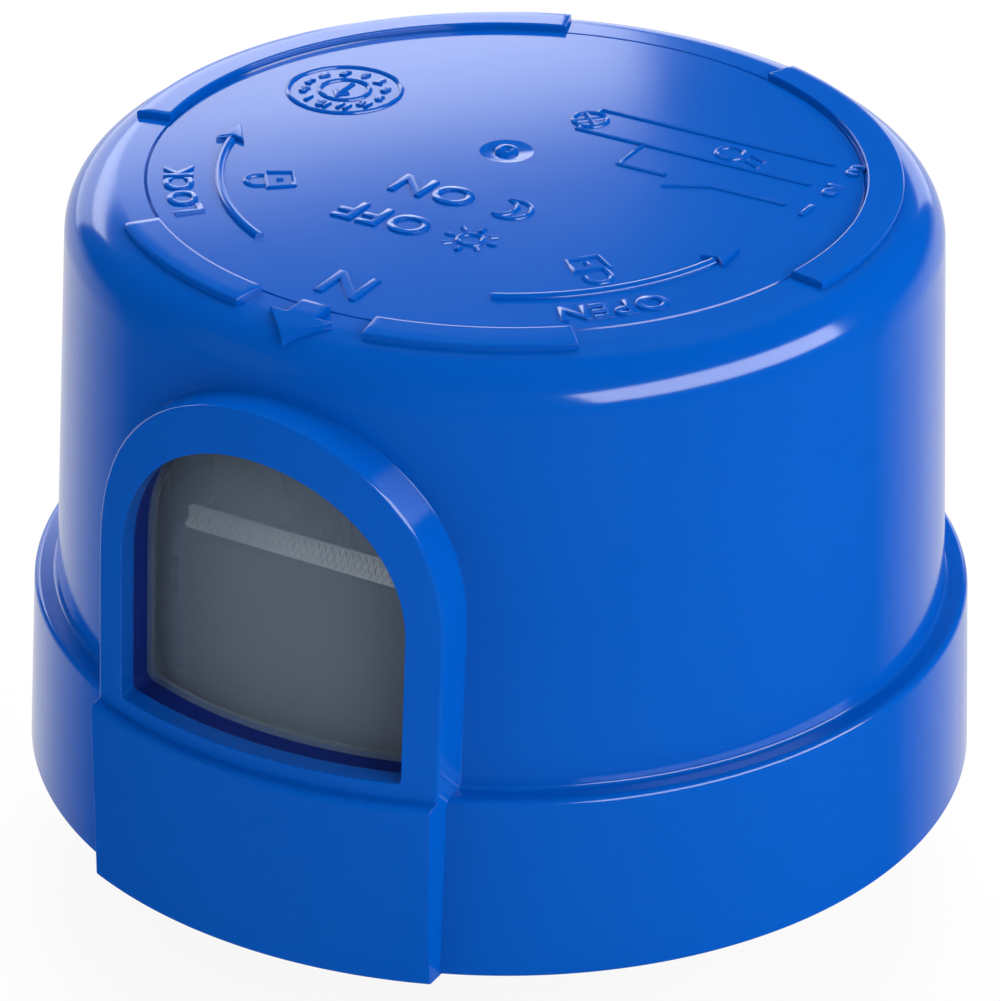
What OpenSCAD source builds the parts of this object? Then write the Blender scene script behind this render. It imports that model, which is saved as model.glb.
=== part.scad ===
// Twist-lock photocell switch for outdoor lighting: a drafted one-piece cover with an arched
// side window, a moulded base with three curved locking blades, and the switching circuit inside.
// Z is up along the cover's axis, the window and the north arrow face -Y, and Z = 0 is the
// plane of the skirt's rim. All sizes are in millimetres.

/* [Cover] */
// Radius of the skirt at its rim
skirt_r = 42; // [41:0.5:46]
// Height of the skirt up to its shoulder
skirt_h = 16.5; // [15.5:0.5:18]
// Width of the shoulder between the skirt and the body
shoulder = 2; // [1.8:0.1:2.6]
// Overall height of the cover
cover_h = 53.8; // [52.8:0.2:60]
// Wall of the cover
wall = 2; // [1.7:0.1:2.3]
// Draft of the moulded walls, in degrees
draft = 2.9; // [1.5:0.1:3.5]
// Rounding of the crown's edge
crown_round = 4.8; // [4:0.1:5.6]
// Rounding of the skirt's top edge
edge_round = 0.6; // [0.3:0.1:1]
// Fillet where the body meets the shoulder
foot_round = 0.4; // [0.2:0.1:0.8]

/* [Top] */
// Distance of the fine groove around the top disc from the start of the crown's rounding
disc_edge = 2.2; // [1.8:0.1:4]
// Width of the groove
groove_w = 0.3; // [0.2:0.05:0.5]
// Depth of the groove
groove_d = 0.25; // [0.15:0.05:0.5]
// Height of the raised bars and of the north arrow
relief = 0.6; // [0.3:0.1:1]
// Distance of the raised bars and the north arrow from the groove
bar_gap = 0.2; // [0.1:0.05:0.4]
// Radial width of the raised bars
bar_w = 3.1; // [2:0.1:3.8]
// Angle from the front to the near end of each front bar
front_bar_from = 10; // [8:1:15]
// Angle from the front to the far end of each front bar
front_bar_to = 39.5; // [30:0.5:50]
// Angle from the front to the near end of each rear bar
rear_bar_from = 79; // [60:1:90]
// Angle from the front to the far end of each rear bar
rear_bar_to = 160.5; // [140:0.5:170]
// Length of the north arrow
arrow_len = 5.2; // [4:0.1:5.4]
// Width of the north arrow's stem
arrow_stem_w = 2.6; // [1.6:0.1:3.2]
// Width of the north arrow's head
arrow_head_w = 5.8; // [4:0.1:6.4]
// Length of the north arrow's head
arrow_head_len = 2.9; // [2:0.1:3.6]
// Distance of the two turning arrows from the groove
turn_in = 6.2; // [4.5:0.1:9]
// Width of a turning arrow's shaft
turn_w = 0.9; // [0.6:0.1:1.4]
// Height of the turning arrows
turn_relief = 0.4; // [0.2:0.1:0.8]
// Angle from the front to a turning arrow's tail
turn_from = 27; // [20:1:40]
// Angle from the front to a turning arrow's head
turn_to = 74; // [60:1:80]
// Width of a turning arrow's head
turn_head_w = 2.5; // [1.8:0.1:3.2]
// Length of a turning arrow's head
turn_head_len = 3.2; // [2:0.1:4]
// Radius of the dished injection gate
gate_r = 2.35; // [1.8:0.05:3]
// Depth of the dished injection gate
gate_d = 0.5; // [0.3:0.05:0.8]
// Radius of the gate's stub
gate_stub_r = 1; // [0.6:0.1:1.3]
// Sideways place of the gate
gate_x = -2; // [-6:0.5:6]
// Rearward place of the gate
gate_y = 3.7; // [-6:0.1:6]

/* [Window] */
// Width of the window's opening
window_w = 27.1; // [25:0.1:28]
// Height of the opening's lower edge
window_foot = 18.8; // [18.4:0.1:20]
// Height where the opening's arch springs
window_spring = 31.3; // [29:0.1:32]
// Rounding of the opening's lower corners
window_corner = 0.4; // [0.3:0.1:2]
// Width of the raised frame at its sides
frame_w = 2.9; // [2.5:0.1:3.2]
// Width of the raised frame at its crown
frame_top = 4.15; // [3.6:0.05:4.4]
// Offset of the haunch centres that make the frame's arch taller than round
frame_haunch = 4.5; // [3.5:0.1:6]
// How far the frame stands out from the body
frame_proud = 3.4; // [2.8:0.1:4]
// Thickness of the frame's front lip
frame_lip = 2.2; // [1.6:0.1:2.6]
// How far the pocket behind the lip is wider than the opening
pocket_lap = 0.8; // [0.5:0.1:1]
// How far the pad under the window stands out from the skirt
pad_proud = 1.7; // [1:0.1:2.5]
// Height of the pad above the skirt's shoulder
pad_rise = 0.4; // [0.2:0.1:1]
// Rounding of the pad's top edge and upright edges
pad_round = 0.6; // [0.4:0.1:1]

/* [Lens] */
// Thickness of the lens
lens_t = 1.8; // [1.4:0.1:2.2]
// How far the lens laps the wall around its pocket
lens_lap = 1.4; // [1:0.1:1.6]
// Clearance around the lens
lens_fit = 0.15; // [0.1:0.05:0.25]
// How far the lens's raised face stands into the pocket
lens_face = 0.7; // [0.4:0.1:1.4]
// Thickness of the two rails that hold the lens
rail_t = 1.6; // [1.2:0.1:2]

/* [Base] */
// Thickness of the base's floor
base_t = 2.5; // [2:0.1:3]
// Thickness of the base's ring wall
base_wall = 1.6; // [1.2:0.1:2]
// Thickness of the base's seating flange
flange_t = 2; // [1.5:0.1:2.5]
// Clearance between the base and the cover
base_fit = 0.25; // [0.15:0.05:0.35]
// Radius of the screw towers
tower_r = 4.2; // [4:0.1:4.6]
// Radius of the cover's screw bosses
boss_r = 3; // [2.6:0.1:3.4]
// Radius of the cover screws
screw_r = 1.45; // [1.2:0.05:1.6]
// Length of the cover screws under the head
screw_len = 18; // [14:1:24]
// Radius of the cover screws' heads
screw_head_r = 2.7; // [2.4:0.1:2.8]
// Height of the cover screws' heads
screw_head_h = 2; // [1.6:0.1:2.4]
// Depth of the counterbores for the screw heads
counterbore_d = 4; // [3:0.1:5]

/* [Gasket] */
// Thickness of the gasket
gasket_t = 5; // [4:0.1:6]
// Width of the gasket ring
gasket_w = 13; // [10:0.5:15]

/* [Blades] */
// Radius of the circle that the blades follow
blade_circle = 16.5; // [15:0.1:17.5]
// Thickness of the blades
blade_t = 1.5; // [1.2:0.1:1.8]
// Reach of the blades below the skirt's rim
blade_reach = 12.3; // [10:0.1:14]
// Width of the line and load blades' stems
stem_w = 7; // [6:0.1:8]
// Width of the neutral blade's stem
neutral_w = 11; // [9:0.1:12]
// Width of the locking hooks
hook_w = 3.4; // [2.5:0.1:4]
// Height of the locking hooks
hook_h = 6.4; // [5:0.1:7]
// Chamfer of the blades' tips
tip_chamfer = 1; // [0.5:0.1:1.5]
// Width of the staked ears on the base's floor
ear_w = 1.4; // [1:0.1:2]
// Height of the staked ears
ear_h = 1.6; // [1:0.1:2]
// Width of the tails that are soldered into the board
tail_w = 3; // [2.4:0.1:4]
// Clearance around the blades in the base and the board
slot_fit = 0.2; // [0.1:0.05:0.3]

/* [Circuit board] */
// Thickness of the circuit board
board_t = 1.6; // [1.2:0.1:2]
// Height of the board above the base's floor
board_lift = 4.5; // [4:0.1:5.5]
// Clearance around the board
board_gap = 0.5; // [0.3:0.1:0.8]
// Radius of the board's stand-offs
standoff_r = 3; // [2.6:0.1:3.4]
// Distance of the stand-offs from the board's edge
standoff_in = 7.5; // [6:0.1:9]
// Radius of the board screws
board_screw_r = 1.2; // [1:0.05:1.4]
// Length of the board screws under the head
board_screw_len = 6; // [5:0.1:6.4]
// Radius of the board screws' heads
board_head_r = 2.4; // [2:0.1:2.6]
// Height of the board screws' heads
board_head_h = 1.8; // [1.2:0.1:2.4]
// Clearance around screws and leads in their holes
hole_fit = 0.1; // [0.05:0.05:0.2]
// Length of the leads below the board
lead_tail = 1.2; // [0.8:0.1:2]
// Radius of the component leads
lead_r = 0.35; // [0.3:0.05:0.4]

/* [Relay] */
// Length of the relay's case, across the window
relay_l = 28; // [24:0.5:28]
// Depth of the relay's case
relay_w = 16; // [12:0.5:16]
// Height of the relay's case
relay_h = 17; // [14:0.1:18]
// Distance of the relay's front corners from the board's edge
relay_edge = 0.9; // [0.8:0.1:3]
// Chamfer around the top of the relay's case
relay_chamfer = 0.8; // [0.4:0.1:1.2]
// Distance of the relay's pins from the ends of its case
relay_pin_in = 3; // [2:0.1:4]
// Spacing of the relay's two rows of pins
relay_row = 8; // [6:0.1:9]

/* [Photocell] */
// Radius of the photocell's disc
cell_r = 5.5; // [4:0.1:6]
// Thickness of the photocell's disc
cell_t = 2.2; // [1.6:0.1:3]
// Sideways place of the photocell
cell_x = -4.5; // [-6:0.5:6]
// Upward tilt of the photocell, in degrees
cell_tilt = 40; // [30:1:50]
// Wall of the photocell's holder
holder_wall = 1; // [0.8:0.1:1.4]
// Depth of the holder's ring
holder_d = 4; // [3:0.1:5]
// Thickness of the holder's foot on the relay
holder_foot = 1.2; // [1:0.1:2]
// Spacing of the photocell's leads
cell_pitch = 3.4; // [2.6:0.1:4]
// Gap between the photocell's leads and the relay's back
cell_lead_gap = 0.7; // [0.4:0.1:1.5]

/* [Components] */
// Gap between neighbouring parts on the board
part_gap = 0.5; // [0.3:0.1:0.8]
// Height of the disc parts above the board, on their leads
part_lift = 2; // [1:0.1:3]
// Length of the film capacitor
film_l = 16; // [14:0.5:17]
// Width of the film capacitor
film_w = 8.5; // [7:0.1:9]
// Height of the film capacitor
film_h = 14; // [11:0.5:16]
// Chamfer around the top of the film capacitor
film_edge = 0.5; // [0.3:0.1:1]
// Spacing of the film capacitor's leads
film_pitch = 13; // [10:0.5:13]
// Radius of the surge arrester's disc
mov_r = 7.4; // [6:0.1:7.6]
// Thickness of the surge arrester's disc
mov_t = 4.4; // [3.5:0.1:5]
// Spacing of the surge arrester's leads
mov_pitch = 7.5; // [5:0.1:8]
// Radius of the smoothing capacitor
can_r = 5; // [4:0.1:5.2]
// Height of the smoothing capacitor
can_h = 16; // [12:0.5:20]
// Height of the crimp around the smoothing capacitor
can_crimp_z = 2.6; // [1.6:0.1:4]
// Depth of the crimp around the smoothing capacitor
can_crimp = 0.4; // [0.2:0.1:0.6]
// Spacing of the smoothing capacitor's leads
can_pitch = 5; // [3.5:0.1:5]
// Radius of the dropper resistor's body
dropper_r = 2.6; // [2:0.1:3]
// Length of the dropper resistor's body
dropper_l = 14; // [12:0.5:15]
// Spread of the dropper resistor's leads
dropper_span = 19; // [17:0.5:20]
// Height of the dropper resistor above the board
dropper_lift = 1; // [0.5:0.1:2]
// Rearward place of the dropper resistor
dropper_y = -4; // [-5:0.1:-3.5]
// Radius of the small resistors' bodies
resistor_r = 1.2; // [0.9:0.1:1.3]
// Length of the small resistors' bodies
resistor_l = 6.2; // [5:0.1:6.4]
// Radius of the rectifier diodes' bodies
diode_r = 1.35; // [1:0.05:1.4]
// Length of the rectifier diodes' bodies
diode_l = 5.2; // [4.5:0.1:6]
// Spacing between neighbouring small parts
part_pitch = 4; // [3.4:0.1:4.4]
// Spread of the small parts' leads
part_span = 9; // [8:0.1:9.4]
// Distance of the small parts' outer leads from the board's edge
part_edge = 1.5; // [1:0.1:2]
// Height of the small parts above the board
small_lift = 0.2; // [0.1:0.1:0.6]
// Share of an axial body's radius that is left at its waist
waist = 0.85; // [0.75:0.05:0.95]
// Length of the control chip's body
chip_l = 9.6; // [9:0.1:10]
// Width of the control chip's body
chip_w = 6.3; // [6:0.1:6.6]
// Height of the control chip's body
chip_h = 3.3; // [2.8:0.1:3.6]
// Height of the control chip above the board
chip_lift = 0.6; // [0.3:0.1:1]
// Rearward place of the control chip
chip_y = 8; // [7:0.1:9]
// Radius of the driver transistor's body
transistor_r = 2.4; // [2:0.1:2.5]
// Height of the driver transistor's body
transistor_h = 4.8; // [4:0.1:6]

/* [Hidden] */
$fn = 96;

// Overlap by which features of one moulding run into each other
weld = 0.5;
// Depth by which a blind bore runs past the end of its screw
bore_spare = 1;
// Length that is longer than any cut
far = 100;

// Cover radii at a height z
slope = tan(draft);
function skirt_at(z) = skirt_r - z * slope;
body_r = skirt_at(skirt_h) - shoulder;
function body_at(z) = body_r - (z - skirt_h) * slope;
function inner_at(z) = body_at(z) - wall;
seat_z = skirt_h - wall;
ceiling_z = cover_h - wall;
crown_z = cover_h - crown_round;
crown_r = body_at(crown_z) - crown_round / cos(draft);
inner_round = crown_round - wall;
disc_r = crown_r - disc_edge;
bar_r = disc_r + groove_w / 2 + bar_gap;
turn_r = disc_r - turn_in;
pad_r = skirt_r + pad_proud;
pad_h = skirt_h + pad_rise;

// Window outlines, each a step wider than the one before
window_a = window_w / 2;
window_top = window_spring + window_a;
frame_a = window_a + frame_w;
pocket_a = window_a + pocket_lap;
lens_a = pocket_a + lens_lap;
lens_foot = window_foot - pocket_lap - lens_lap;

// Heights of the base and the board
floor_z = gasket_t + base_t;
board_z = floor_z + board_lift;
board_top = board_z + board_t;
lip_z = lens_foot - lens_fit;
lip_r = inner_at(lip_z) - base_fit;
ring_r = lip_r - base_wall;
base_r = skirt_at(seat_z) - wall - base_fit;
board_r = ring_r - board_gap;

// Screw towers, stand-offs and blades, as angles around the axis
tower_angles = [90, 210, 330];
tower_circle = ring_r - tower_r - board_gap;
tower_top = board_top + board_gap;
screw_seat = gasket_t + counterbore_d;
standoff_angles = [30, 150];
peg_angle = 270;
standoff_circle = board_r - standoff_in;
line_angle = 210;
load_angle = 330;
neutral_angle = 90;
tail_top = board_top + lead_tail;

// Relay and photocell
relay_front = sqrt(pow(board_r - relay_edge, 2) - pow(relay_l / 2, 2));
relay_back = relay_front - relay_w;
relay_top = board_top + relay_h;
relay_place = [0, -(relay_front + relay_back) / 2];
holder_r = cell_r + hole_fit + holder_wall;
holder_y = -relay_front + holder_d + holder_r * sin(cell_tilt);
holder_z = relay_top + holder_foot + holder_r * cos(cell_tilt) + holder_d * sin(cell_tilt);
cell_lead_y = cell_lead_gap + lead_r - relay_back;

// Places of the other components on the board
side_x = blade_circle + blade_t + part_gap;
side_back = standoff_circle * sin(standoff_angles[0]) - board_head_r - part_gap;
film_place = [-side_x - film_w / 2, side_back - film_l / 2];
mov_place = [side_x + mov_t / 2, side_back - mov_r];
can_place = [can_r + tail_w, blade_circle - can_r];
dropper_place = [0, dropper_y];
chip_place = [-chip_l / 2 - lead_r, chip_y];
small_circle = board_r - part_edge - part_span / 2;
small_from = asin((tower_r + 2 * board_gap + max(resistor_r, diode_r)) / tower_circle);
small_step = 2 * asin(part_pitch / 2 / (small_circle - part_span / 2));
small_turns = [for (i = [0:3]) small_from + i * small_step];
transistor_place = [0, blade_circle + blade_t + transistor_r];
chip_pitch = 2.54;
chip_row = 7.62;
transistor_pitch = 1.27;

// Places of every lead that passes through the board
relay_pins = [
    for (x = [-1, 1], y = [-1, 1])
        relay_place + [x * (relay_l / 2 - relay_pin_in), y * relay_row / 2]
];
film_leads = [for (s = [-1, 1]) film_place + [0, s * film_pitch / 2]];
mov_leads = [for (s = [-1, 1]) mov_place + [0, s * mov_pitch / 2]];
can_leads = [for (s = [-1, 1]) can_place + [s * can_pitch / 2, 0]];
dropper_leads = [for (s = [-1, 1]) dropper_place + [s * dropper_span / 2, 0]];
cell_leads = [for (s = [-1, 1]) [cell_x + s * cell_pitch / 2, cell_lead_y]];
chip_leads = [for (i = [0:3], s = [-1, 1]) chip_place + [(i - 1.5) * chip_pitch, s * chip_row / 2]];
transistor_leads = [for (i = [-1:1]) transistor_place + [i * transistor_pitch, 0]];
small_leads = [
    for (t = small_turns, side = [-1, 1], s = [-1, 1])
        (small_circle + s * part_span / 2) * [side * sin(t), cos(t)]
];
all_leads = concat(
    relay_pins, film_leads, mov_leads, can_leads, dropper_leads,
    cell_leads, chip_leads, transistor_leads, small_leads
);

// Colours
blue = [0.0, 0.28, 0.68];
smoke = [0.3, 0.33, 0.36, 0.7];
black = [0.08, 0.08, 0.09];
foam = [0.22, 0.22, 0.23];
brass = [0.78, 0.62, 0.3];
steel = [0.7, 0.7, 0.72];

// Points of an arc around centre c from angle a to angle b
function arc(c, r, a, b, n = 10) =
    [for (i = [0:n]) let (t = a + (b - a) * i / n) c + r * [cos(t), sin(t)]];

// The crown's section, offset outwards by lift, from the axis to the wall
function crown_line(lift) =
    concat([[0, cover_h + lift]], arc([crown_r, crown_z], crown_round + lift, 90, draft));

function reversed(list) = [for (i = [len(list) - 1:-1:0]) list[i]];

// A drafted ring between two offsets from the body's wall, from height z0 to z1
module wall_ring(inner, outer, z0, z1) {
    rotate_extrude()
        polygon([
            [body_at(z0) + inner, z0],
            [body_at(z0) + outer, z0],
            [body_at(z1) + outer, z1],
            [body_at(z1) + inner, z1]
        ]);
}

// Everything inside a drafted cone that is offset from the body's wall
module wall_core(outer, z0, z1) {
    rotate_extrude()
        polygon([[0, z0], [body_at(z0) + outer, z0], [body_at(z1) + outer, z1], [0, z1]]);
}

// Everything inside the middle of the cover's shell
module shell_core() {
    rotate_extrude()
        polygon(concat(
            [[0, 0], [body_at(0) - wall / 2, 0]],
            reversed(crown_line(-wall / 2))
        ));
}

// A drawing in X and Z, pushed out towards the front from the axis
module front_prism() {
    rotate([90, 0, 0])
        linear_extrude(far)
            children();
}

// Round-headed prism towards the front: straight legs with rounded feet under a half circle
module round_arch(a, foot, corner) {
    intersection() {
        front_prism() {
            translate([-a, foot + corner])
                square([2 * a, window_spring - foot - corner]);
            translate([corner - a, foot])
                square([2 * (a - corner), 2 * corner]);
            for (s = [-1, 1])
                translate([s * (a - corner), foot + corner])
                    circle(corner);
            translate([0, window_spring])
                circle(a);
        }
        translate([-far / 2, -far, foot])
            cube(far);
    }
}

// Three-centred arch that is taller than round: a crown arc between two haunch arcs
module tall_arch(a, foot, top, haunch) {
    haunch_r = a + haunch;
    spare = haunch_r - (top - window_spring);
    rise = (haunch * haunch - spare * spare) / (2 * spare);
    meet = atan2(rise, haunch);
    polygon(concat(
        [[a, foot]],
        arc([-haunch, window_spring], haunch_r, 0, meet),
        arc([0, window_spring + rise], top - window_spring - rise, meet, 180 - meet, 16),
        arc([haunch, window_spring], haunch_r, 180 - meet, 180),
        [[-a, foot]]
    ));
}

// Half section of the cover's shell, from the top disc round the skirt to the ceiling
module shell_section() {
    foot_r = body_at(skirt_h + foot_round) + foot_round / cos(draft);
    edge_r = skirt_at(skirt_h - edge_round) - edge_round / cos(draft);
    polygon(concat(
        [
            [0, cover_h],
            [disc_r - groove_w / 2, cover_h],
            [disc_r, cover_h - groove_d],
            [disc_r + groove_w / 2, cover_h]
        ],
        arc([crown_r, crown_z], crown_round, 90, draft),
        arc([foot_r, skirt_h + foot_round], foot_round, 180 + draft, 270, 4),
        arc([edge_r, skirt_h - edge_round], edge_round, 90, draft, 4),
        [
            [skirt_r, 0],
            [skirt_r - wall, 0],
            [skirt_at(seat_z) - wall, seat_z],
            [inner_at(seat_z), seat_z]
        ],
        arc([crown_r, crown_z], inner_round, draft, 90),
        [[0, ceiling_z]]
    ));
}

// Raised bar over the crown between two angles from the front
module crown_bar(from, to) {
    rotate([0, 0, from - 90])
        rotate_extrude(angle = to - from)
            intersection() {
                polygon(concat(crown_line(relief), reversed(crown_line(-wall / 2))));
                translate([bar_r, 0])
                    square([bar_w, far]);
            }
}

// Raised arrow over the crown that points out over the window
module north_arrow() {
    neck = bar_r + arrow_len - arrow_head_len;
    intersection() {
        linear_extrude(far)
            polygon([
                [-arrow_stem_w / 2, -bar_r],
                [-arrow_stem_w / 2, -neck],
                [-arrow_head_w / 2, -neck],
                [0, -bar_r - arrow_len],
                [arrow_head_w / 2, -neck],
                [arrow_stem_w / 2, -neck],
                [arrow_stem_w / 2, -bar_r]
            ]);
        rotate_extrude()
            polygon(concat(crown_line(relief), reversed(crown_line(-wall / 2))));
    }
}

// Raised arrow that curves round the disc from the front towards the back
module turn_arrow() {
    rotate([0, 0, turn_from - 90])
        rotate_extrude(angle = turn_to - turn_from)
            translate([turn_r - turn_w / 2, cover_h - weld])
                square([turn_w, weld + turn_relief]);
    rotate([0, 0, turn_to - 90])
        translate([turn_r, 0, cover_h - weld])
            linear_extrude(weld + turn_relief)
                polygon([[-turn_head_w / 2, 0], [turn_head_w / 2, 0], [0, turn_head_len]]);
}

// Pad on the skirt under the window, with rounded top and upright edges
module window_pad() {
    corner_y = pad_round - sqrt(pow(pad_r, 2) - pow(frame_a, 2));
    intersection() {
        translate([0, 0, -weld])
            linear_extrude(far)
                union() {
                    translate([pad_round - frame_a, -far])
                        square([2 * (frame_a - pad_round), far]);
                    translate([-frame_a, corner_y])
                        square([2 * frame_a, far]);
                    for (s = [-1, 1])
                        translate([s * (frame_a - pad_round), corner_y])
                            circle(pad_round);
                }
        rotate([0, 0, 180])
            rotate_extrude(angle = 180)
                polygon(concat(
                    [[skirt_r - wall / 2, 0], [pad_r, 0]],
                    arc([pad_r - pad_round, pad_h - pad_round], pad_round, 0, 90, 6),
                    [
                        [body_at(pad_h) - wall / 2, pad_h],
                        [body_at(seat_z) - wall / 2, seat_z],
                        [skirt_at(seat_z) - wall / 2, seat_z]
                    ]
                ));
    }
}

// Raised arched frame around the window
module window_frame() {
    intersection() {
        front_prism()
            tall_arch(frame_a, seat_z, window_top + frame_top, frame_haunch);
        wall_ring(-wall / 2, frame_proud, seat_z, window_top + frame_top + weld);
    }
}

// Opening through the frame, and the wider pocket behind its lip
module window_cut() {
    round_arch(window_a, window_foot, window_corner);
    intersection() {
        round_arch(pocket_a, window_foot - pocket_lap, window_corner + pocket_lap);
        wall_core(frame_proud - frame_lip, 0, cover_h);
    }
}

// Two hooked rails that hold the lens against the wall, drawn down from the ceiling
module lens_rails() {
    hook_at = -wall - 2 * lens_fit - lens_t;
    for (s = [-1, 1]) {
        intersection() {
            front_prism()
                translate([s * (lens_a + lens_fit + rail_t / 2) - rail_t / 2, lip_z + lens_fit])
                    square([rail_t, ceiling_z - lip_z]);
            wall_ring(hook_at - rail_t, 0, lip_z, cover_h);
            shell_core();
        }
        intersection() {
            front_prism()
                translate([s * (lens_a + lens_fit) - rail_t, lip_z + lens_fit])
                    square([2 * rail_t, ceiling_z - lip_z]);
            wall_ring(hook_at - rail_t, hook_at, lip_z, cover_h);
            shell_core();
        }
    }
}

// Screw bosses drawn down from the ceiling, each webbed to the wall
module screw_bosses() {
    for (a = tower_angles)
        rotate([0, 0, a])
            difference() {
                union() {
                    translate([tower_circle, 0, tower_top])
                        cylinder(r = boss_r, h = ceiling_z + wall / 2 - tower_top);
                    intersection() {
                        translate([tower_circle, -wall / 2, lip_z + base_fit])
                            cube([far, wall, ceiling_z + wall / 2 - lip_z - base_fit]);
                        shell_core();
                    }
                }
                translate([tower_circle, 0, 0])
                    cylinder(r = screw_r + hole_fit / 2, h = screw_seat + screw_len + bore_spare);
            }
}

module cover() {
    dish_r = (gate_r * gate_r + gate_d * gate_d) / (2 * gate_d);
    color(blue) {
        difference() {
            union() {
                rotate_extrude()
                    shell_section();
                window_pad();
                window_frame();
            }
            window_cut();
            translate([gate_x, gate_y, cover_h - gate_d + dish_r])
                sphere(dish_r);
        }
        for (side = [0, 1])
            mirror([side, 0, 0]) {
                crown_bar(front_bar_from, front_bar_to);
                crown_bar(rear_bar_from, rear_bar_to);
                turn_arrow();
            }
        north_arrow();
        translate([gate_x, gate_y, cover_h - wall / 2])
            cylinder(r = gate_stub_r, h = wall / 2 + gate_d / 2);
        lens_rails();
        screw_bosses();
    }
}

module window_lens() {
    back = -wall - lens_fit - lens_t;
    face_a = pocket_a - lens_fit;
    face_foot = window_foot - pocket_lap + lens_fit;
    color(smoke) {
        intersection() {
            round_arch(lens_a, lens_foot, window_corner + pocket_lap + lens_lap);
            wall_ring(back, -wall - lens_fit, 0, cover_h);
        }
        intersection() {
            round_arch(face_a, face_foot, window_corner + pocket_lap);
            wall_ring(back, lens_face - wall, 0, cover_h);
        }
    }
}

// A drawing in X and Z at the rear of the circle, cut from a ring of the blades' thickness
module blade_band(angle, extra) {
    rotate([0, 0, angle - 90])
        intersection() {
            translate([0, 0, -far / 2])
                difference() {
                    cylinder(r = blade_circle + blade_t / 2 + extra, h = far);
                    cylinder(r = blade_circle - blade_t / 2 - extra, h = far);
                }
            rotate([90, 0, 180])
                linear_extrude(far)
                    children();
        }
}

// Curved locking blade: staked on the floor, tailed into the board, and hooked at its tip
// towards the clockwise turn that locks it, seen from above
module blade(angle, w) {
    color(brass)
        blade_band(angle, 0)
            polygon([
                [w / 2 - tip_chamfer, -blade_reach],
                [tip_chamfer - hook_w - w / 2, -blade_reach],
                [-w / 2 - hook_w, tip_chamfer - blade_reach],
                [-w / 2 - hook_w, hook_h - blade_reach],
                [-w / 2, hook_h - blade_reach],
                [-w / 2, floor_z],
                [-w / 2 - ear_w, floor_z],
                [-w / 2 - ear_w, floor_z + ear_h],
                [-tail_w / 2, floor_z + ear_h],
                [-tail_w / 2, tail_top],
                [tail_w / 2, tail_top],
                [tail_w / 2, floor_z + ear_h],
                [w / 2 + ear_w, floor_z + ear_h],
                [w / 2 + ear_w, floor_z],
                [w / 2, floor_z],
                [w / 2, tip_chamfer - blade_reach]
            ]);
}

// Slot that clears a blade of width w between two heights
module blade_slot(angle, w, z0, z1) {
    blade_band(angle, slot_fit)
        translate([-w / 2 - slot_fit, z0])
            square([w + 2 * slot_fit, z1 - z0]);
}

module line_blade() {
    blade(line_angle, stem_w);
}

module load_blade() {
    blade(load_angle, stem_w);
}

module neutral_blade() {
    blade(neutral_angle, neutral_w);
}

module base() {
    bore = board_screw_r + hole_fit / 2;
    color(black)
        difference() {
            union() {
                rotate_extrude()
                    polygon([
                        [0, gasket_t],
                        [base_r, gasket_t],
                        [base_r, floor_z],
                        [lip_r, floor_z],
                        [lip_r, seat_z - flange_t],
                        [base_r, seat_z - flange_t],
                        [base_r, seat_z],
                        [lip_r, seat_z],
                        [lip_r, lip_z],
                        [ring_r, lip_z],
                        [ring_r, floor_z],
                        [0, floor_z]
                    ]);
                for (a = tower_angles)
                    rotate([0, 0, a])
                        translate([tower_circle, 0, gasket_t])
                            cylinder(r = tower_r, h = tower_top - gasket_t);
                for (a = concat(standoff_angles, [peg_angle]))
                    rotate([0, 0, a])
                        translate([standoff_circle, 0, gasket_t])
                            cylinder(r = standoff_r, h = board_z - gasket_t);
            }
            for (a = tower_angles)
                rotate([0, 0, a])
                    translate([tower_circle, 0, 0]) {
                        cylinder(r = screw_r + 2 * hole_fit, h = far);
                        cylinder(r = screw_head_r + 2 * hole_fit, h = screw_seat);
                    }
            for (a = standoff_angles)
                rotate([0, 0, a])
                    translate([standoff_circle, 0, board_top - board_screw_len - bore_spare])
                        cylinder(r = bore, h = far);
            blade_slot(line_angle, stem_w, 0, floor_z + weld);
            blade_slot(load_angle, stem_w, 0, floor_z + weld);
            blade_slot(neutral_angle, neutral_w, 0, floor_z + weld);
        }
}

module gasket() {
    color(foam)
        difference() {
            cylinder(r = base_r, h = gasket_t);
            translate([0, 0, -weld])
                cylinder(r = base_r - gasket_w, h = gasket_t + 2 * weld);
        }
}

module cover_screws() {
    color(steel)
        for (a = tower_angles)
            rotate([0, 0, a])
                translate([tower_circle, 0, screw_seat - screw_head_h]) {
                    cylinder(r = screw_head_r, h = screw_head_h);
                    cylinder(r = screw_r, h = screw_head_h + screw_len);
                }
}

module circuit_board() {
    color([0.12, 0.35, 0.2])
        difference() {
            translate([0, 0, board_z])
                cylinder(r = board_r, h = board_t);
            for (a = tower_angles)
                rotate([0, 0, a])
                    translate([tower_circle, 0, 0])
                        cylinder(r = tower_r + board_gap, h = far);
            for (a = standoff_angles)
                rotate([0, 0, a])
                    translate([standoff_circle, 0, 0])
                        cylinder(r = board_screw_r + hole_fit, h = far);
            for (a = [line_angle, load_angle, neutral_angle])
                blade_slot(a, tail_w, 0, far);
            for (p = all_leads)
                translate(p)
                    cylinder(r = lead_r + hole_fit, h = far);
        }
}

module board_screws() {
    color(steel)
        for (a = standoff_angles)
            rotate([0, 0, a])
                translate([standoff_circle, 0, board_top]) {
                    cylinder(r = board_head_r, h = board_head_h);
                    translate([0, 0, -board_screw_len])
                        cylinder(r = board_screw_r, h = board_screw_len + weld);
                }
}

// Straight lead from below the board up to height z
module lead(place, z) {
    translate([place.x, place.y, board_z - lead_tail])
        cylinder(r = lead_r, h = z - board_z + lead_tail);
}

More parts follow.
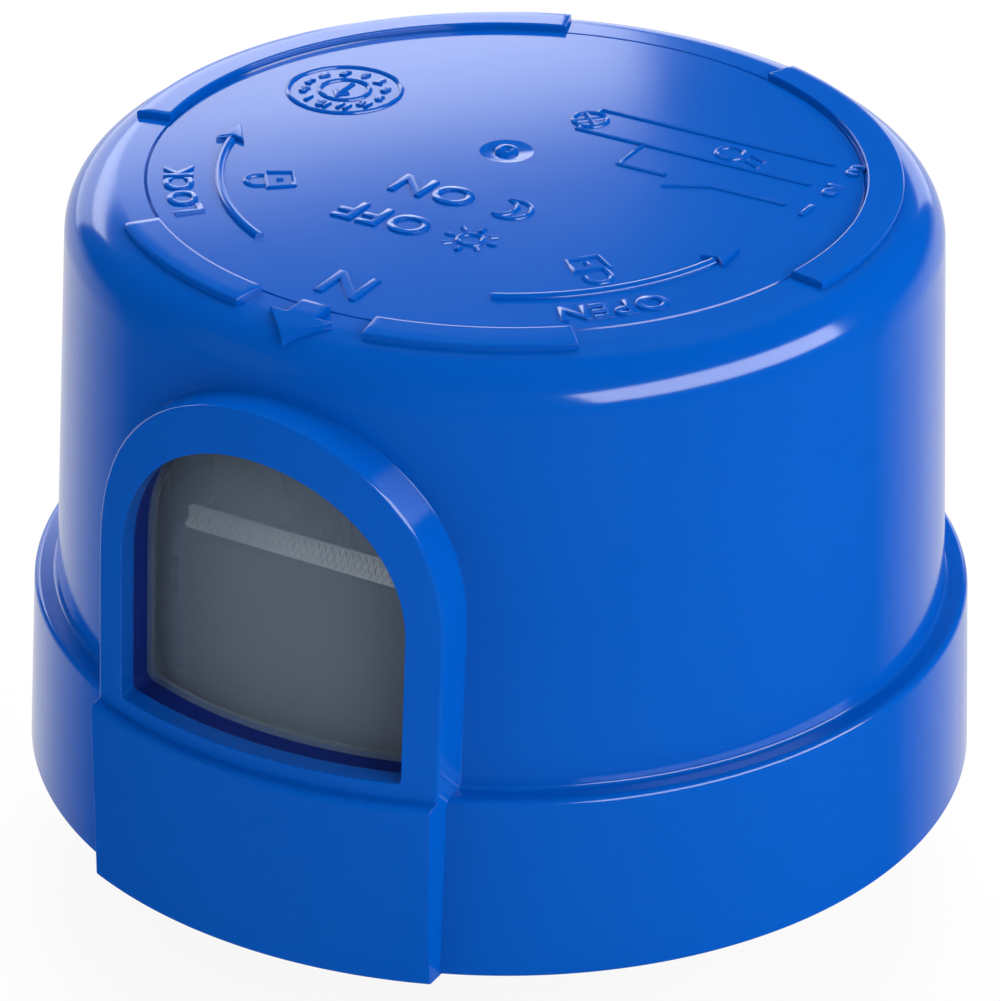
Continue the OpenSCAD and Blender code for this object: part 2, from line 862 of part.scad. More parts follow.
// Box whose upper edges are chamfered, standing on the board around a place
module cased_box(place, l, w, h, chamfer) {
    translate([place.x, place.y, board_top])
        intersection() {
            rotate([90, 0, 0])
                linear_extrude(w, center = true)
                    polygon([
                        [-l / 2, 0], [l / 2, 0], [l / 2, h - chamfer], [l / 2 - chamfer, h],
                        [chamfer - l / 2, h], [-l / 2, h - chamfer]
                    ]);
            rotate([90, 0, 90])
                linear_extrude(l, center = true)
                    polygon([
                        [-w / 2, 0], [w / 2, 0], [w / 2, h - chamfer], [w / 2 - chamfer, h],
                        [chamfer - w / 2, h], [-w / 2, h - chamfer]
                    ]);
        }
}

module relay() {
    color([0.62, 0.64, 0.64]) {
        cased_box(relay_place, relay_l, relay_w, relay_h, relay_chamfer);
        for (p = relay_pins)
            lead(p, board_top + weld);
    }
}

// Moves its children from the cell's own frame, where the cell looks along -Y, to its place
module at_cell() {
    translate([cell_x, holder_y, holder_z])
        rotate([-cell_tilt, 0, 0])
            children();
}

module photocell() {
    run = (cell_lead_y - holder_y) / cos(cell_tilt);
    bend_z = holder_z - run * sin(cell_tilt);
    color([0.75, 0.5, 0.4]) {
        at_cell()
            rotate([-90, 0, 0])
                cylinder(r = cell_r, h = cell_t);
        for (s = [-1, 1])
            at_cell()
                translate([s * cell_pitch / 2, cell_t - weld, 0])
                    rotate([-90, 0, 0])
                        cylinder(r = lead_r, h = run - cell_t + weld + lead_r);
        for (p = cell_leads)
            lead(p, bend_z + lead_r);
    }
}

module cell_holder() {
    leg = holder_r * sin(cell_tilt);
    color(black)
        difference() {
            union() {
                at_cell()
                    rotate([-90, 0, 0])
                        cylinder(r = holder_r, h = holder_d);
                translate([cell_x - holder_r / 2, holder_y - leg, relay_top])
                    cube([holder_r, 2 * leg, holder_z - relay_top]);
            }
            at_cell()
                translate([0, -far / 2, 0])
                    rotate([-90, 0, 0])
                        cylinder(r = cell_r + hole_fit, h = far);
        }
}

module surge_arrester() {
    color([0.1, 0.3, 0.6]) {
        translate([mov_place.x, mov_place.y, board_top + part_lift + mov_r])
            rotate([0, 90, 0])
                cylinder(r = mov_r, h = mov_t, center = true);
        for (p = mov_leads)
            lead(p, board_top + part_lift + mov_r);
    }
}

module film_capacitor() {
    color([0.85, 0.75, 0.2]) {
        translate([film_place.x, film_place.y, 0])
            rotate([0, 0, 90])
                cased_box([0, 0], film_l, film_w, film_h, film_edge);
        for (p = film_leads)
            lead(p, board_top + weld);
    }
}

module smoothing_capacitor() {
    color([0.15, 0.15, 0.2]) {
        translate([can_place.x, can_place.y, board_top])
            rotate_extrude()
                polygon([
                    [0, 0],
                    [can_r, 0],
                    [can_r, can_crimp_z - can_crimp],
                    [can_r - can_crimp, can_crimp_z],
                    [can_r, can_crimp_z + can_crimp],
                    [can_r, can_h - can_crimp],
                    [can_r - can_crimp, can_h],
                    [0, can_h]
                ]);
        for (p = can_leads)
            lead(p, board_top + weld);
    }
}

// Axial part along X at a place, with its leads bent down through the board
module axial(place, r, l, span, lift) {
    translate([place.x, place.y, board_top]) {
        translate([0, 0, lift])
            rotate([0, 90, 0])
                rotate_extrude()
                    polygon([
                        [0, -l / 2],
                        [r, -l / 2],
                        [r, -l / 4],
                        [r * waist, -l / 5],
                        [r * waist, l / 5],
                        [r, l / 4],
                        [r, l / 2],
                        [0, l / 2]
                    ]);
        translate([0, 0, lift])
            rotate([0, 90, 0])
                cylinder(r = lead_r, h = span, center = true);
        for (s = [-1, 1])
            translate([s * span / 2, 0, 0]) {
                translate([0, 0, -board_t - lead_tail])
                    cylinder(r = lead_r, h = lift + board_t + lead_tail);
                translate([0, 0, lift])
                    sphere(lead_r);
            }
    }
}

module dropper_resistor() {
    color([0.45, 0.55, 0.5])
        axial(dropper_place, dropper_r, dropper_l, dropper_span, dropper_r + dropper_lift);
}

module rectifier_diodes() {
    color([0.15, 0.15, 0.16])
        for (t = small_turns)
            rotate([0, 0, 90 - t])
                axial([small_circle, 0], diode_r, diode_l, part_span, diode_r + small_lift);
}

module signal_resistors() {
    color([0.75, 0.65, 0.5])
        for (t = small_turns)
            rotate([0, 0, 90 + t])
                axial([small_circle, 0], resistor_r, resistor_l, part_span, resistor_r + small_lift);
}

module control_chip() {
    foot_z = board_top + chip_lift + chip_h / 2;
    color(black) {
        translate([chip_place.x - chip_l / 2, chip_place.y - chip_w / 2, board_top + chip_lift])
            cube([chip_l, chip_w, chip_h]);
        for (p = chip_leads) {
            lead(p, foot_z);
            translate([p.x - lead_r, min(p.y, chip_place.y), foot_z - lead_r])
                cube([2 * lead_r, abs(p.y - chip_place.y), lead_r]);
        }
    }
}

module driver_transistor() {
    color(black) {
        translate([transistor_place.x, transistor_place.y, board_top + part_lift])
            intersection() {
                cylinder(r = transistor_r, h = transistor_h);
                translate([-far / 2, -transistor_r / 2, 0])
                    cube([far, far, far]);
            }
        for (p = transistor_leads)
            lead(p, board_top + part_lift + weld);
    }
}

cover();
window_lens();
base();
gasket();
line_blade();
load_blade();
neutral_blade();
cover_screws();
circuit_board();
board_screws();
relay();
photocell();
cell_holder();
surge_arrester();
film_capacitor();
smoothing_capacitor();
dropper_resistor();
rectifier_diodes();
signal_resistors();
control_chip();
driver_transistor();
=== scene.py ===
"""Scene of a twist-lock photocell switch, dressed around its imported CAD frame.

Sizes are in millimetres and degrees, as in the part's source, and every mesh is
brought to metres when it is finished. Angles round the cover count from the front,
which is -Y, towards +X.
"""

import logging
import math
from collections.abc import Callable, Sequence
from dataclasses import dataclass, replace
from enum import Enum

import bmesh
import bpy
from bmesh.types import BMEdge, BMesh, BMVert
from mathutils import Matrix, Vector


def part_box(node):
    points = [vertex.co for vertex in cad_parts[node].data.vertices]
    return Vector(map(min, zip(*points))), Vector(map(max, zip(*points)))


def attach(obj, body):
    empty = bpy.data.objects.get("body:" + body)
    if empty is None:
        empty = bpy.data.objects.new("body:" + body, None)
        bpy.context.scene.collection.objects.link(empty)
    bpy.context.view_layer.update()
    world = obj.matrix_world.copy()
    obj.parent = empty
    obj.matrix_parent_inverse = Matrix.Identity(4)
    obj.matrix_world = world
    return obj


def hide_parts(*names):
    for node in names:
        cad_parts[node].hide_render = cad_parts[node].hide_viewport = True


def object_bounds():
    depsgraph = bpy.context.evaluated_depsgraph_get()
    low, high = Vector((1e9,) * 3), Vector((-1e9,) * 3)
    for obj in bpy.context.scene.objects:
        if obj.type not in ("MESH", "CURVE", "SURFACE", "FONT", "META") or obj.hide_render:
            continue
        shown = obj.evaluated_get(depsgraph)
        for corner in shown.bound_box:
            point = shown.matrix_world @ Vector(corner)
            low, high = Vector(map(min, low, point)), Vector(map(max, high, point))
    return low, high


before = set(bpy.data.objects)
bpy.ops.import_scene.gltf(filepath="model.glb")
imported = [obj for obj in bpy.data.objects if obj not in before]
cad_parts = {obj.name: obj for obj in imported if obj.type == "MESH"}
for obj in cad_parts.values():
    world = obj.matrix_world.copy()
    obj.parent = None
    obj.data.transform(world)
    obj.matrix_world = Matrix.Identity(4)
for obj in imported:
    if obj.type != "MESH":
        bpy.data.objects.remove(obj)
CAD_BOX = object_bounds()

LOG = logging.getLogger("photocell_switch")

MM = 0.001
WELD = 0.0005
NEAR = 0.01

WIRE_TURNS = 16
ROUND_TURNS = 64
EDGE_STEPS = 5
FRONT_SECTOR = (-30.0, 60.0)
SIDES = (-1.0, 1.0)

Flat = tuple[float, float]
Colour = tuple[float, float, float]

ORIGIN = Vector((0.0, 0.0, 0.0))
UP = Vector((0.0, 0.0, 1.0))
ACROSS = Vector((1.0, 0.0, 0.0))
REARWARD = Vector((0.0, 1.0, 0.0))


class Cut(Enum):
    """How one closed mesh is worked on another."""

    TAKE = "DIFFERENCE"
    KEEP = "INTERSECT"
    JOIN = "UNION"


def polar(radius: float, angle: float) -> Flat:
    """Give a flat point by its radius and angle."""
    return radius * math.cos(math.radians(angle)), radius * math.sin(math.radians(angle))


def between(first: Flat, last: Flat, share: float) -> Flat:
    """Give the point at a share of the way from one point to another."""
    return first[0] + (last[0] - first[0]) * share, first[1] + (last[1] - first[1]) * share


def straight(first: Flat, last: Flat, steps: int) -> list[Flat]:
    """Lay points along a line in equal parts, without its two ends."""
    return [between(first, last, i / steps) for i in range(1, steps)]


def arc(centre: Flat, radius: float, start: float, end: float, steps: int) -> list[Flat]:
    """Lay points along a circular arc, both ends among them.

    Args:
        centre: Centre of the arc.
        radius: Radius of the arc.
        start: First angle.
        end: Last angle.
        steps: Number of chords.

    Returns:
        The points.
    """
    spokes = [polar(radius, start + (end - start) * i / steps) for i in range(steps + 1)]
    return [(centre[0] + x, centre[1] + y) for x, y in spokes]


def rotation(axis: str, angle: float) -> Matrix:
    """Give a turn about an axis."""
    return Matrix.Rotation(math.radians(angle), 4, axis)


def away_at(azimuth: float, elevation: float) -> Vector:
    """Give the direction of a place round the part by its two angles."""
    x, y = polar(math.cos(math.radians(elevation)), azimuth - 90.0)
    return Vector((x, y, math.sin(math.radians(elevation))))


def linked(name: str, data: bpy.types.ID) -> bpy.types.Object:
    """Make an object of some data and put it in the scene.

    Args:
        name: Name of the object.
        data: Its mesh, curve, lamp or camera.

    Returns:
        The object.
    """
    made = bpy.data.objects.new(name, data)
    bpy.context.scene.collection.objects.link(made)
    return made


def mesh_of(bm: BMesh, name: str) -> bpy.types.Mesh:
    """Write a mesh out under a name, and free it.

    Args:
        bm: The mesh, which is freed.
        name: Name that it is kept under.

    Returns:
        The mesh as Blender data.
    """
    mesh = bpy.data.meshes.new(name)
    bm.to_mesh(mesh)
    bm.free()
    return mesh


def cleaned(bm: BMesh) -> BMesh:
    """Merge a mesh's doubles, turn its faces outwards and hand it back.

    Args:
        bm: The mesh.

    Returns:
        The same mesh.
    """
    bmesh.ops.remove_doubles(bm, verts=bm.verts[:], dist=WELD)
    bmesh.ops.recalc_face_normals(bm, faces=bm.faces[:])
    return bm


def placed(bm: BMesh, place: Matrix) -> BMesh:
    """Move a whole mesh and hand it back."""
    bmesh.ops.transform(bm, matrix=place, verts=bm.verts[:])
    return bm


def moved(bm: BMesh, *by: float) -> BMesh:
    """Shift a whole mesh along the three axes and hand it back."""
    return placed(bm, Matrix.Translation(Vector(by)))


def spin(bm: BMesh, geom: Sequence[object], sweep: float, steps: int, merge: bool) -> BMesh:
    """Spin some geometry about the upright axis and clean the mesh.

    Args:
        bm: Mesh that holds the geometry.
        geom: What is spun.
        sweep: Angle of the spin.
        steps: Number of parts.
        merge: Whether the end is joined to the start.

    Returns:
        The same mesh.
    """
    bmesh.ops.spin(
        bm,
        geom=geom,
        cent=ORIGIN,
        axis=UP,
        dvec=ORIGIN,
        angle=math.radians(sweep),
        steps=steps,
        use_merge=merge,
    )
    return cleaned(bm)


def turned(section: Sequence[Flat], start: float, sweep: float, steps: int) -> BMesh:
    """Sweep a closed section about the axis between two angles from the front.

    Args:
        section: Corners in radius and height.
        start: First angle from the front.
        sweep: Angle that the section turns through, less than a full turn.
        steps: Number of parts.

    Returns:
        A closed solid.
    """
    bm = bmesh.new()
    bm.faces.new([bm.verts.new((r, 0.0, z)) for r, z in section])
    placed(bm, rotation("Z", start - 90.0))
    return spin(bm, bm.faces[:], sweep, steps, merge=False)


def lathed(profile: Sequence[Flat], steps: int, closed: bool = False) -> BMesh:
    """Spin a profile through a full turn.

    Args:
        profile: Points in radius and height, from the axis to the axis unless closed.
        steps: Number of parts round the turn.
        closed: Whether the profile joins its own start, as in a ring.

    Returns:
        A closed solid.
    """
    bm = bmesh.new()
    verts = [bm.verts.new((r, 0.0, z)) for r, z in profile]
    ends = verts[1:] + verts[:1] if closed else verts[1:]
    edges = [bm.edges.new(pair) for pair in zip(verts, ends)]
    return spin(bm, verts + edges, 360.0, steps, merge=True)


def rod(radius: float, low: float, high: float) -> BMesh:
    """Lathe a round wire between two heights."""
    return lathed([(0.0, low), (radius, low), (radius, high), (0.0, high)], WIRE_TURNS)


def raised(outline: Sequence[Flat], low: float, high: float) -> BMesh:
    """Extrude a flat outline in X and Y.

    Args:
        outline: Corners of the outline.
        low: Height of the under side.
        high: Height of the upper side.

    Returns:
        A closed solid.
    """
    bm = bmesh.new()
    face = bm.faces.new([bm.verts.new((x, y, low)) for x, y in outline])
    grown = bmesh.ops.extrude_face_region(bm, geom=[face])
    tops = [item for item in grown["geom"] if isinstance(item, BMVert)]
    bmesh.ops.translate(bm, verts=tops, vec=UP * (high - low))
    return cleaned(bm)


def bridged(rows: Sequence[Sequence[Vector]]) -> tuple[BMesh, list[list[BMEdge]]]:
    """Bridge closed lines of points, each to the next and the last to the first.

    Args:
        rows: Corners of each line, the same number in all.

    Returns:
        The ring-shaped solid and the edges of each line.
    """
    bm = bmesh.new()
    loops = []
    for points in rows:
        verts = [bm.verts.new(p) for p in points]
        loops.append([bm.edges.new(pair) for pair in zip(verts, verts[1:] + verts[:1])])
    for near, far in zip(loops, loops[1:] + loops[:1]):
        bmesh.ops.bridge_loops(bm, edges=near + far)
    bmesh.ops.recalc_face_normals(bm, faces=bm.faces[:])
    return bm, loops


def block(size: Sequence[float], centre: Sequence[float], edge: float, segments: int = 3) -> BMesh:
    """Make a box with rounded edges.

    Args:
        size: Sides of the box.
        centre: Middle of the box.
        edge: Radius of the edges.
        segments: Steps round each edge.

    Returns:
        A closed solid.
    """
    bm = bmesh.new()
    bmesh.ops.create_cube(bm, size=1.0)
    bmesh.ops.scale(bm, vec=Vector(size), verts=bm.verts[:])
    soften(bm, bm.edges[:], edge, segments)
    return moved(bm, *centre)


def soften(bm: BMesh, edges: Sequence[BMEdge], width: float, segments: int = EDGE_STEPS) -> None:
    """Round some edges of a mesh.

    Args:
        bm: Mesh that holds the edges.
        edges: Edges to round.
        width: Width of the rounding on each side.
        segments: Steps round each edge.
    """
    bmesh.ops.bevel(
        bm,
        geom=list(edges),
        offset=width,
        offset_type="OFFSET",
        segments=segments,
        profile=0.5,
        affect="EDGES",
        clamp_overlap=True,
        material=-1,
    )


def creases(bm: BMesh, angle: float, wanted: Callable[[Vector], bool]) -> list[BMEdge]:
    """Find the sharp edges in one part of a mesh.

    Args:
        bm: Mesh to search.
        angle: Smallest angle between the two faces.
        wanted: Test that both ends of an edge have to pass.

    Returns:
        The edges found.
    """
    least = math.radians(angle)
    return [
        e
        for e in bm.edges
        if len(e.link_faces) == 2
        and e.calc_face_angle() > least
        and all(wanted(v.co) for v in e.verts)
    ]


def sliced(bm: BMesh, point: Vector, normal: Vector, clear: bool = False) -> None:
    """Cut a mesh's faces along a plane.

    Args:
        bm: Mesh to cut.
        point: A point of the plane.
        normal: The plane's normal.
        clear: Whether what lies past the plane is taken away.
    """
    bmesh.ops.bisect_plane(
        bm,
        geom=bm.verts[:] + bm.edges[:] + bm.faces[:],
        dist=WELD,
        plane_co=point,
        plane_no=normal,
        clear_outer=clear,
    )


def combine(blank: BMesh, tool: BMesh, how: Cut) -> BMesh:
    """Work one closed mesh on another with an exact Boolean, and free both.

    Args:
        blank: Mesh that is worked.
        tool: Mesh that works it.
        how: What is done with it.

    Returns:
        The new mesh.
    """
    holders = []
    for part in (blank, tool):
        bmesh.ops.recalc_face_normals(part, faces=part.faces[:])
        holders.append(linked("work", mesh_of(part, "work")))
    cut = holders[0].modifiers.new("cut", "BOOLEAN")
    cut.operation = how.value
    cut.object = holders[1]
    cut.solver = "EXACT"
    result = bmesh.new()
    result.from_object(holders[0], bpy.context.evaluated_depsgraph_get())
    for holder in holders:
        mesh = holder.data
        bpy.data.objects.remove(holder)
        bpy.data.meshes.remove(mesh)
    return result


def gather(parts: Sequence[BMesh]) -> BMesh:
    """Put several closed meshes side by side in one, and free them.

    Args:
        parts: Meshes to gather.

    Returns:
        The mesh that holds them all.
    """
    whole = bmesh.new()
    for part in parts:
        mesh = mesh_of(cleaned(part), "work")
        whole.from_mesh(mesh)
        bpy.data.meshes.remove(mesh)
    return whole


def piece_of(
    bm: BMesh,
    name: str,
    finish: "Finish",
    nodes: Sequence[str] = (),
    sharp: float = 32.0,
    on_rim: Callable[[Vector], bool] | None = None,
) -> bpy.types.Object:
    """Turn a mesh into a finished piece that rides on the part.

    Args:
        bm: Mesh in millimetres, which is freed.
        name: Name of the piece.
        finish: Finish that dresses it.
        nodes: CAD nodes that it stands for.
        sharp: Angle past which an edge stays crisp.
        on_rim: Test for the points of a rim that is crisp at any angle.

    Returns:
        The piece, at the origin.
    """
    bm.edges.index_update()
    rim = [e.index for e in bm.edges if on_rim and all(on_rim(v.co) for v in e.verts)]
    bmesh.ops.scale(bm, vec=Vector((MM, MM, MM)), verts=bm.verts[:])
    mesh = mesh_of(bm, name)
    mesh.materials.append(finish.material())
    mesh.shade_smooth()
    mesh.set_sharp_from_angle(angle=math.radians(sharp))
    for index in rim:
        mesh.edges[index].use_edge_sharp = True
    piece = linked(name, mesh)
    even = piece.modifiers.new("even_shading", "WEIGHTED_NORMAL")
    even.keep_sharp = True
    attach(piece, "root")
    if nodes:
        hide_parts(*nodes)
    return piece


class Nodes:
    """A node tree whose nodes are added and filled in one go."""

    def __init__(self, tree: bpy.types.NodeTree) -> None:
        """Keep the tree that is filled."""
        self.tree = tree

    def feed(self, socket: bpy.types.NodeSocket, value: object) -> None:
        """Link an output to a socket, or set the socket to a plain value.

        Args:
            socket: Input of a node.
            value: An output, or a plain value.
        """
        if isinstance(value, bpy.types.NodeSocket):
            self.tree.links.new(value, socket)
        else:
            socket.default_value = value

    def fill(self, node: bpy.types.Node, **sockets: object) -> bpy.types.Node:
        """Fill a node's named inputs.

        Args:
            node: The node.
            **sockets: Plain values or outputs for its inputs, with _ for a space.

        Returns:
            The same node.
        """
        for label, value in sockets.items():
            self.feed(node.inputs[label.replace("_", " ")], value)
        return node

    def add(self, kind: str, **sockets: object) -> bpy.types.Node:
        """Add a node of a kind and fill its named inputs."""
        return self.fill(self.tree.nodes.new(kind), **sockets)

    def in_order(self, node: bpy.types.Node, *values: object) -> bpy.types.Node:
        """Fill a node's inputs in their order.

        Args:
            node: The node.
            *values: Plain values or outputs.

        Returns:
            The same node.
        """
        for socket, value in zip(node.inputs, values):
            self.feed(socket, value)
        return node

    def maths(self, operation: str, *values: object) -> bpy.types.NodeSocket:
        """Add a Math node.

        Args:
            operation: What the node does.
            *values: Plain values or outputs for its inputs.

        Returns:
            The node's output.
        """
        node = self.tree.nodes.new("ShaderNodeMath")
        node.operation = operation
        return self.in_order(node, *values).outputs[0]

    def mix(self, share: object, low: object, high: object) -> bpy.types.NodeSocket:
        """Mix two values, or two colours where the first is a colour.

        Args:
            share: Share of the second.
            low: The first.
            high: The second.

        Returns:
            The mixture.
        """
        node = self.tree.nodes.new("ShaderNodeMix")
        first, out = 2, 0
        if isinstance(low, tuple):
            node.data_type = "RGBA"
            first, out = 6, 2
            low, high = (*low, 1.0), (*high, 1.0)
        self.feed(node.inputs[0], share)
        self.feed(node.inputs[first], low)
        self.feed(node.inputs[first + 1], high)
        return node.outputs[out]


class Shader(Nodes):
    """A new material's node tree with its Principled shader."""

    def __init__(self, name: str) -> None:
        """Make a material with one shader.

        Args:
            name: Name of the material.
        """
        self.made = bpy.data.materials.new(name)
        self.made.use_nodes = True
        super().__init__(self.made.node_tree)
        self.principled = self.tree.nodes["Principled BSDF"]
        self.coords = self.add("ShaderNodeTexCoord").outputs["Object"]

    def surface(self, **sockets: object) -> None:
        """Set or link sockets of the Principled shader."""
        self.fill(self.principled, **sockets)

    def bump(self, height: bpy.types.NodeSocket, depth: float) -> None:
        """Raise the surface by a height, whose full span is depth in millimetres."""
        node = self.add("ShaderNodeBump", Strength=1.0, Distance=depth * MM, Height=height)
        self.surface(Normal=node.outputs["Normal"])


@dataclass(frozen=True)
class SkinGroup:
    """Shared node group of a moulded skin: fine relief, uneven gloss and a colour mask."""

    name: str = "moulded_skin"
    drift: float = 0.12
    fine_detail: float = 3.0
    broad_detail: float = 2.0
    middle: float = 0.5

    def tree(self) -> bpy.types.NodeTree:
        """Build the group once.

        Returns:
            The group.
        """
        known = bpy.data.node_groups.get(self.name)
        if known:
            return known
        made = bpy.data.node_groups.new(self.name, "ShaderNodeTree")
        made.interface.new_socket("Vector", in_out="INPUT", socket_type="NodeSocketVector")
        for label in ("Scale", "Gloss", "Spread"):
            made.interface.new_socket(label, in_out="INPUT", socket_type="NodeSocketFloat")
        for label in ("Roughness", "Height", "Mask"):
            made.interface.new_socket(label, in_out="OUTPUT", socket_type="NodeSocketFloat")
        nodes = Nodes(made)
        given = nodes.add("NodeGroupInput").outputs
        noise = "ShaderNodeTexNoise"
        where, scale = given["Vector"], given["Scale"]
        slower = nodes.maths("MULTIPLY", scale, self.drift)
        fine = nodes.add(noise, Vector=where, Scale=scale, Detail=self.fine_detail).outputs[0]
        broad = nodes.add(noise, Vector=where, Scale=slower, Detail=self.broad_detail).outputs[0]
        centred = nodes.maths("SUBTRACT", broad, self.middle)
        rough = nodes.maths("MULTIPLY_ADD", centred, given["Spread"], given["Gloss"])
        nodes.add("NodeGroupOutput", Roughness=rough, Height=fine, Mask=broad)
        return made


@dataclass(frozen=True)
class Finish:
    """A moulded, cast or lacquered surface in two close tones, with the shared skin."""

    name: str
    colour: Colour
    deep: Colour
    gloss: float = 0.3
    spread: float = 0.1
    scale: float = 700.0
    depth: float = 0.01

    def material(self) -> bpy.types.Material:
        """Give the finish's material, made on first use.

        Returns:
            The material.
        """
        known = bpy.data.materials.get(self.name)
        if known:
            return known
        shader = Shader(self.name)
        self.make(shader)
        return shader.made

    def make(self, shader: Shader) -> None:
        """Tint and gloss the surface by the skin, and raise its fine relief."""
        shader.bump(self.skin(shader, shader.coords).outputs["Height"], self.depth)

    def skin(
        self,
        shader: Shader,
        coords: bpy.types.NodeSocket,
        mask: bpy.types.NodeSocket | None = None,
    ) -> bpy.types.Node:
        """Place the shared skin and let it set the colour and the gloss.

        Args:
            shader: The material's nodes.
            coords: Coordinates that the skin reads.
            mask: Share of the lighter tone, or none for the skin's own mask.

        Returns:
            The group's node.
        """
        node = shader.tree.nodes.new("ShaderNodeGroup")
        node.node_tree = SkinGroup().tree()
        shader.fill(node, Vector=coords, Scale=self.scale, Gloss=self.gloss, Spread=self.spread)
        shader.surface(
            Base_Color=shader.mix(mask or node.outputs["Mask"], self.deep, self.colour),
            Roughness=node.outputs["Roughness"],
        )
        return node


@dataclass(frozen=True)
class Metal(Finish):
    """A drawn or stamped metal whose fine lines run one way."""

    spread: float = 0.15
    scale: float = 900.0
    stretch: tuple[float, float, float] = (1.0, 1.0, 0.08)

    def make(self, shader: Shader) -> None:
        """Draw the skin out along the metal.

        Args:
            shader: The material's nodes.
        """
        drawn = shader.add("ShaderNodeMapping", Vector=shader.coords, Scale=self.stretch)
        skin = self.skin(shader, drawn.outputs["Vector"])
        shader.surface(Metallic=1.0)
        shader.bump(skin.outputs["Height"], self.depth)


@dataclass(frozen=True)
class SmokedPlate(Finish):
    """Clear grey plastic that shows what lies behind it; its even grey haze is partly its smoke
    tint and partly a painted reflection of the white floor before it.
    """

    gloss: float = 0.1
    spread: float = 0.05
    scale: float = 500.0
    alpha: float = 0.4

    def make(self, shader: Shader) -> None:
        """Tint the plate evenly, partly smoke and partly a painted reflection of the floor, and
        let part of the light through.
        """
        self.skin(shader, shader.coords)
        shader.surface(Alpha=self.alpha)


@dataclass(frozen=True)
class CellFoam(Finish):
    """Closed-cell foam rubber with open pores on its cut faces."""

    gloss: float = 0.85
    spread: float = 0.2
    scale: float = 1600.0
    depth: float = 0.25

    def make(self, shader: Shader) -> None:
        """Sink small pores into the foam, with painted shade that darkens them in their depth.

        Args:
            shader: The material's nodes.
        """
        cells = shader.add("ShaderNodeTexVoronoi", Vector=shader.coords, Scale=self.scale)
        pore_depth_and_shade = cells.outputs["Distance"]
        # The pores' depth also sets the colour: painted shade, darker at their bottoms.
        self.skin(shader, shader.coords, pore_depth_and_shade)
        shader.bump(pore_depth_and_shade, self.depth)


BLUE = Finish(
    "blue_moulding",
    (0.0, 0.08, 0.43),
    (0.0, 0.072, 0.4),
    gloss=0.12,
    spread=0.04,
    scale=420.0,
    depth=0.002,
)
# Grey haze of the lens: partly smoke tint, partly painted reflection of the white floor in front.
SMOKE_AND_REFLECTION = SmokedPlate("window_smoke_and_reflection", (0.15, 0.195, 0.255), (0.135, 0.178, 0.232))
# Dark navy for the pocket's sleeve: painted shade where the pocket lies in shadow behind the lip.
POCKET_PAINTED_SHADE = Finish("pocket_painted_shade", (0.001, 0.018, 0.2), (0.001, 0.013, 0.15), gloss=0.5)
BLACK = Finish("black_moulding", (0.022, 0.022, 0.024), (0.014, 0.014, 0.016), gloss=0.42)
FOAM = CellFoam("gasket_rubber", (0.07, 0.07, 0.072), (0.02, 0.02, 0.022))
BRASS = Metal("drawn_brass", (0.83, 0.62, 0.27), (0.66, 0.46, 0.18))
STEEL = Metal("plated_steel", (0.72, 0.72, 0.74), (0.56, 0.56, 0.58))
TINNED = Metal("tinned_wire", (0.75, 0.75, 0.74), (0.6, 0.6, 0.6))
LAMINATE = Finish("board_laminate", (0.1, 0.2, 0.07), (0.06, 0.14, 0.05), gloss=0.4)
RELAY_GREY = Finish(
    "relay_grey", (0.035, 0.038, 0.042), (0.028, 0.03, 0.034), gloss=0.45, depth=0.03
)
# Near-white band: painted highlight for the sheen along the relay's lit top edge.
SHEEN_BAND = Finish("band_painted_sheen", (0.88, 0.92, 0.93), (0.74, 0.79, 0.8), gloss=0.4)
CELL_FACE = Finish("cell_ceramic", (0.62, 0.4, 0.32), (0.5, 0.3, 0.22), gloss=0.35)
CELL_TRACK = Finish("cell_track", (0.34, 0.1, 0.04), (0.24, 0.06, 0.03), gloss=0.4)
ARRESTER = Finish(
    "arrester_coat", (0.03, 0.1, 0.3), (0.02, 0.07, 0.22), gloss=0.35, depth=0.04
)
FILM_CASE = Finish("film_case", (0.5, 0.32, 0.02), (0.42, 0.26, 0.02))
CAN_SLEEVE = Finish("can_sleeve", (0.02, 0.022, 0.03), (0.012, 0.014, 0.02))
CEMENT = Finish("resistor_coat", (0.24, 0.3, 0.3), (0.17, 0.22, 0.22), gloss=0.6, depth=0.05)
LACQUER = Finish("resistor_lacquer", (0.5, 0.38, 0.22), (0.4, 0.29, 0.16), gloss=0.25)


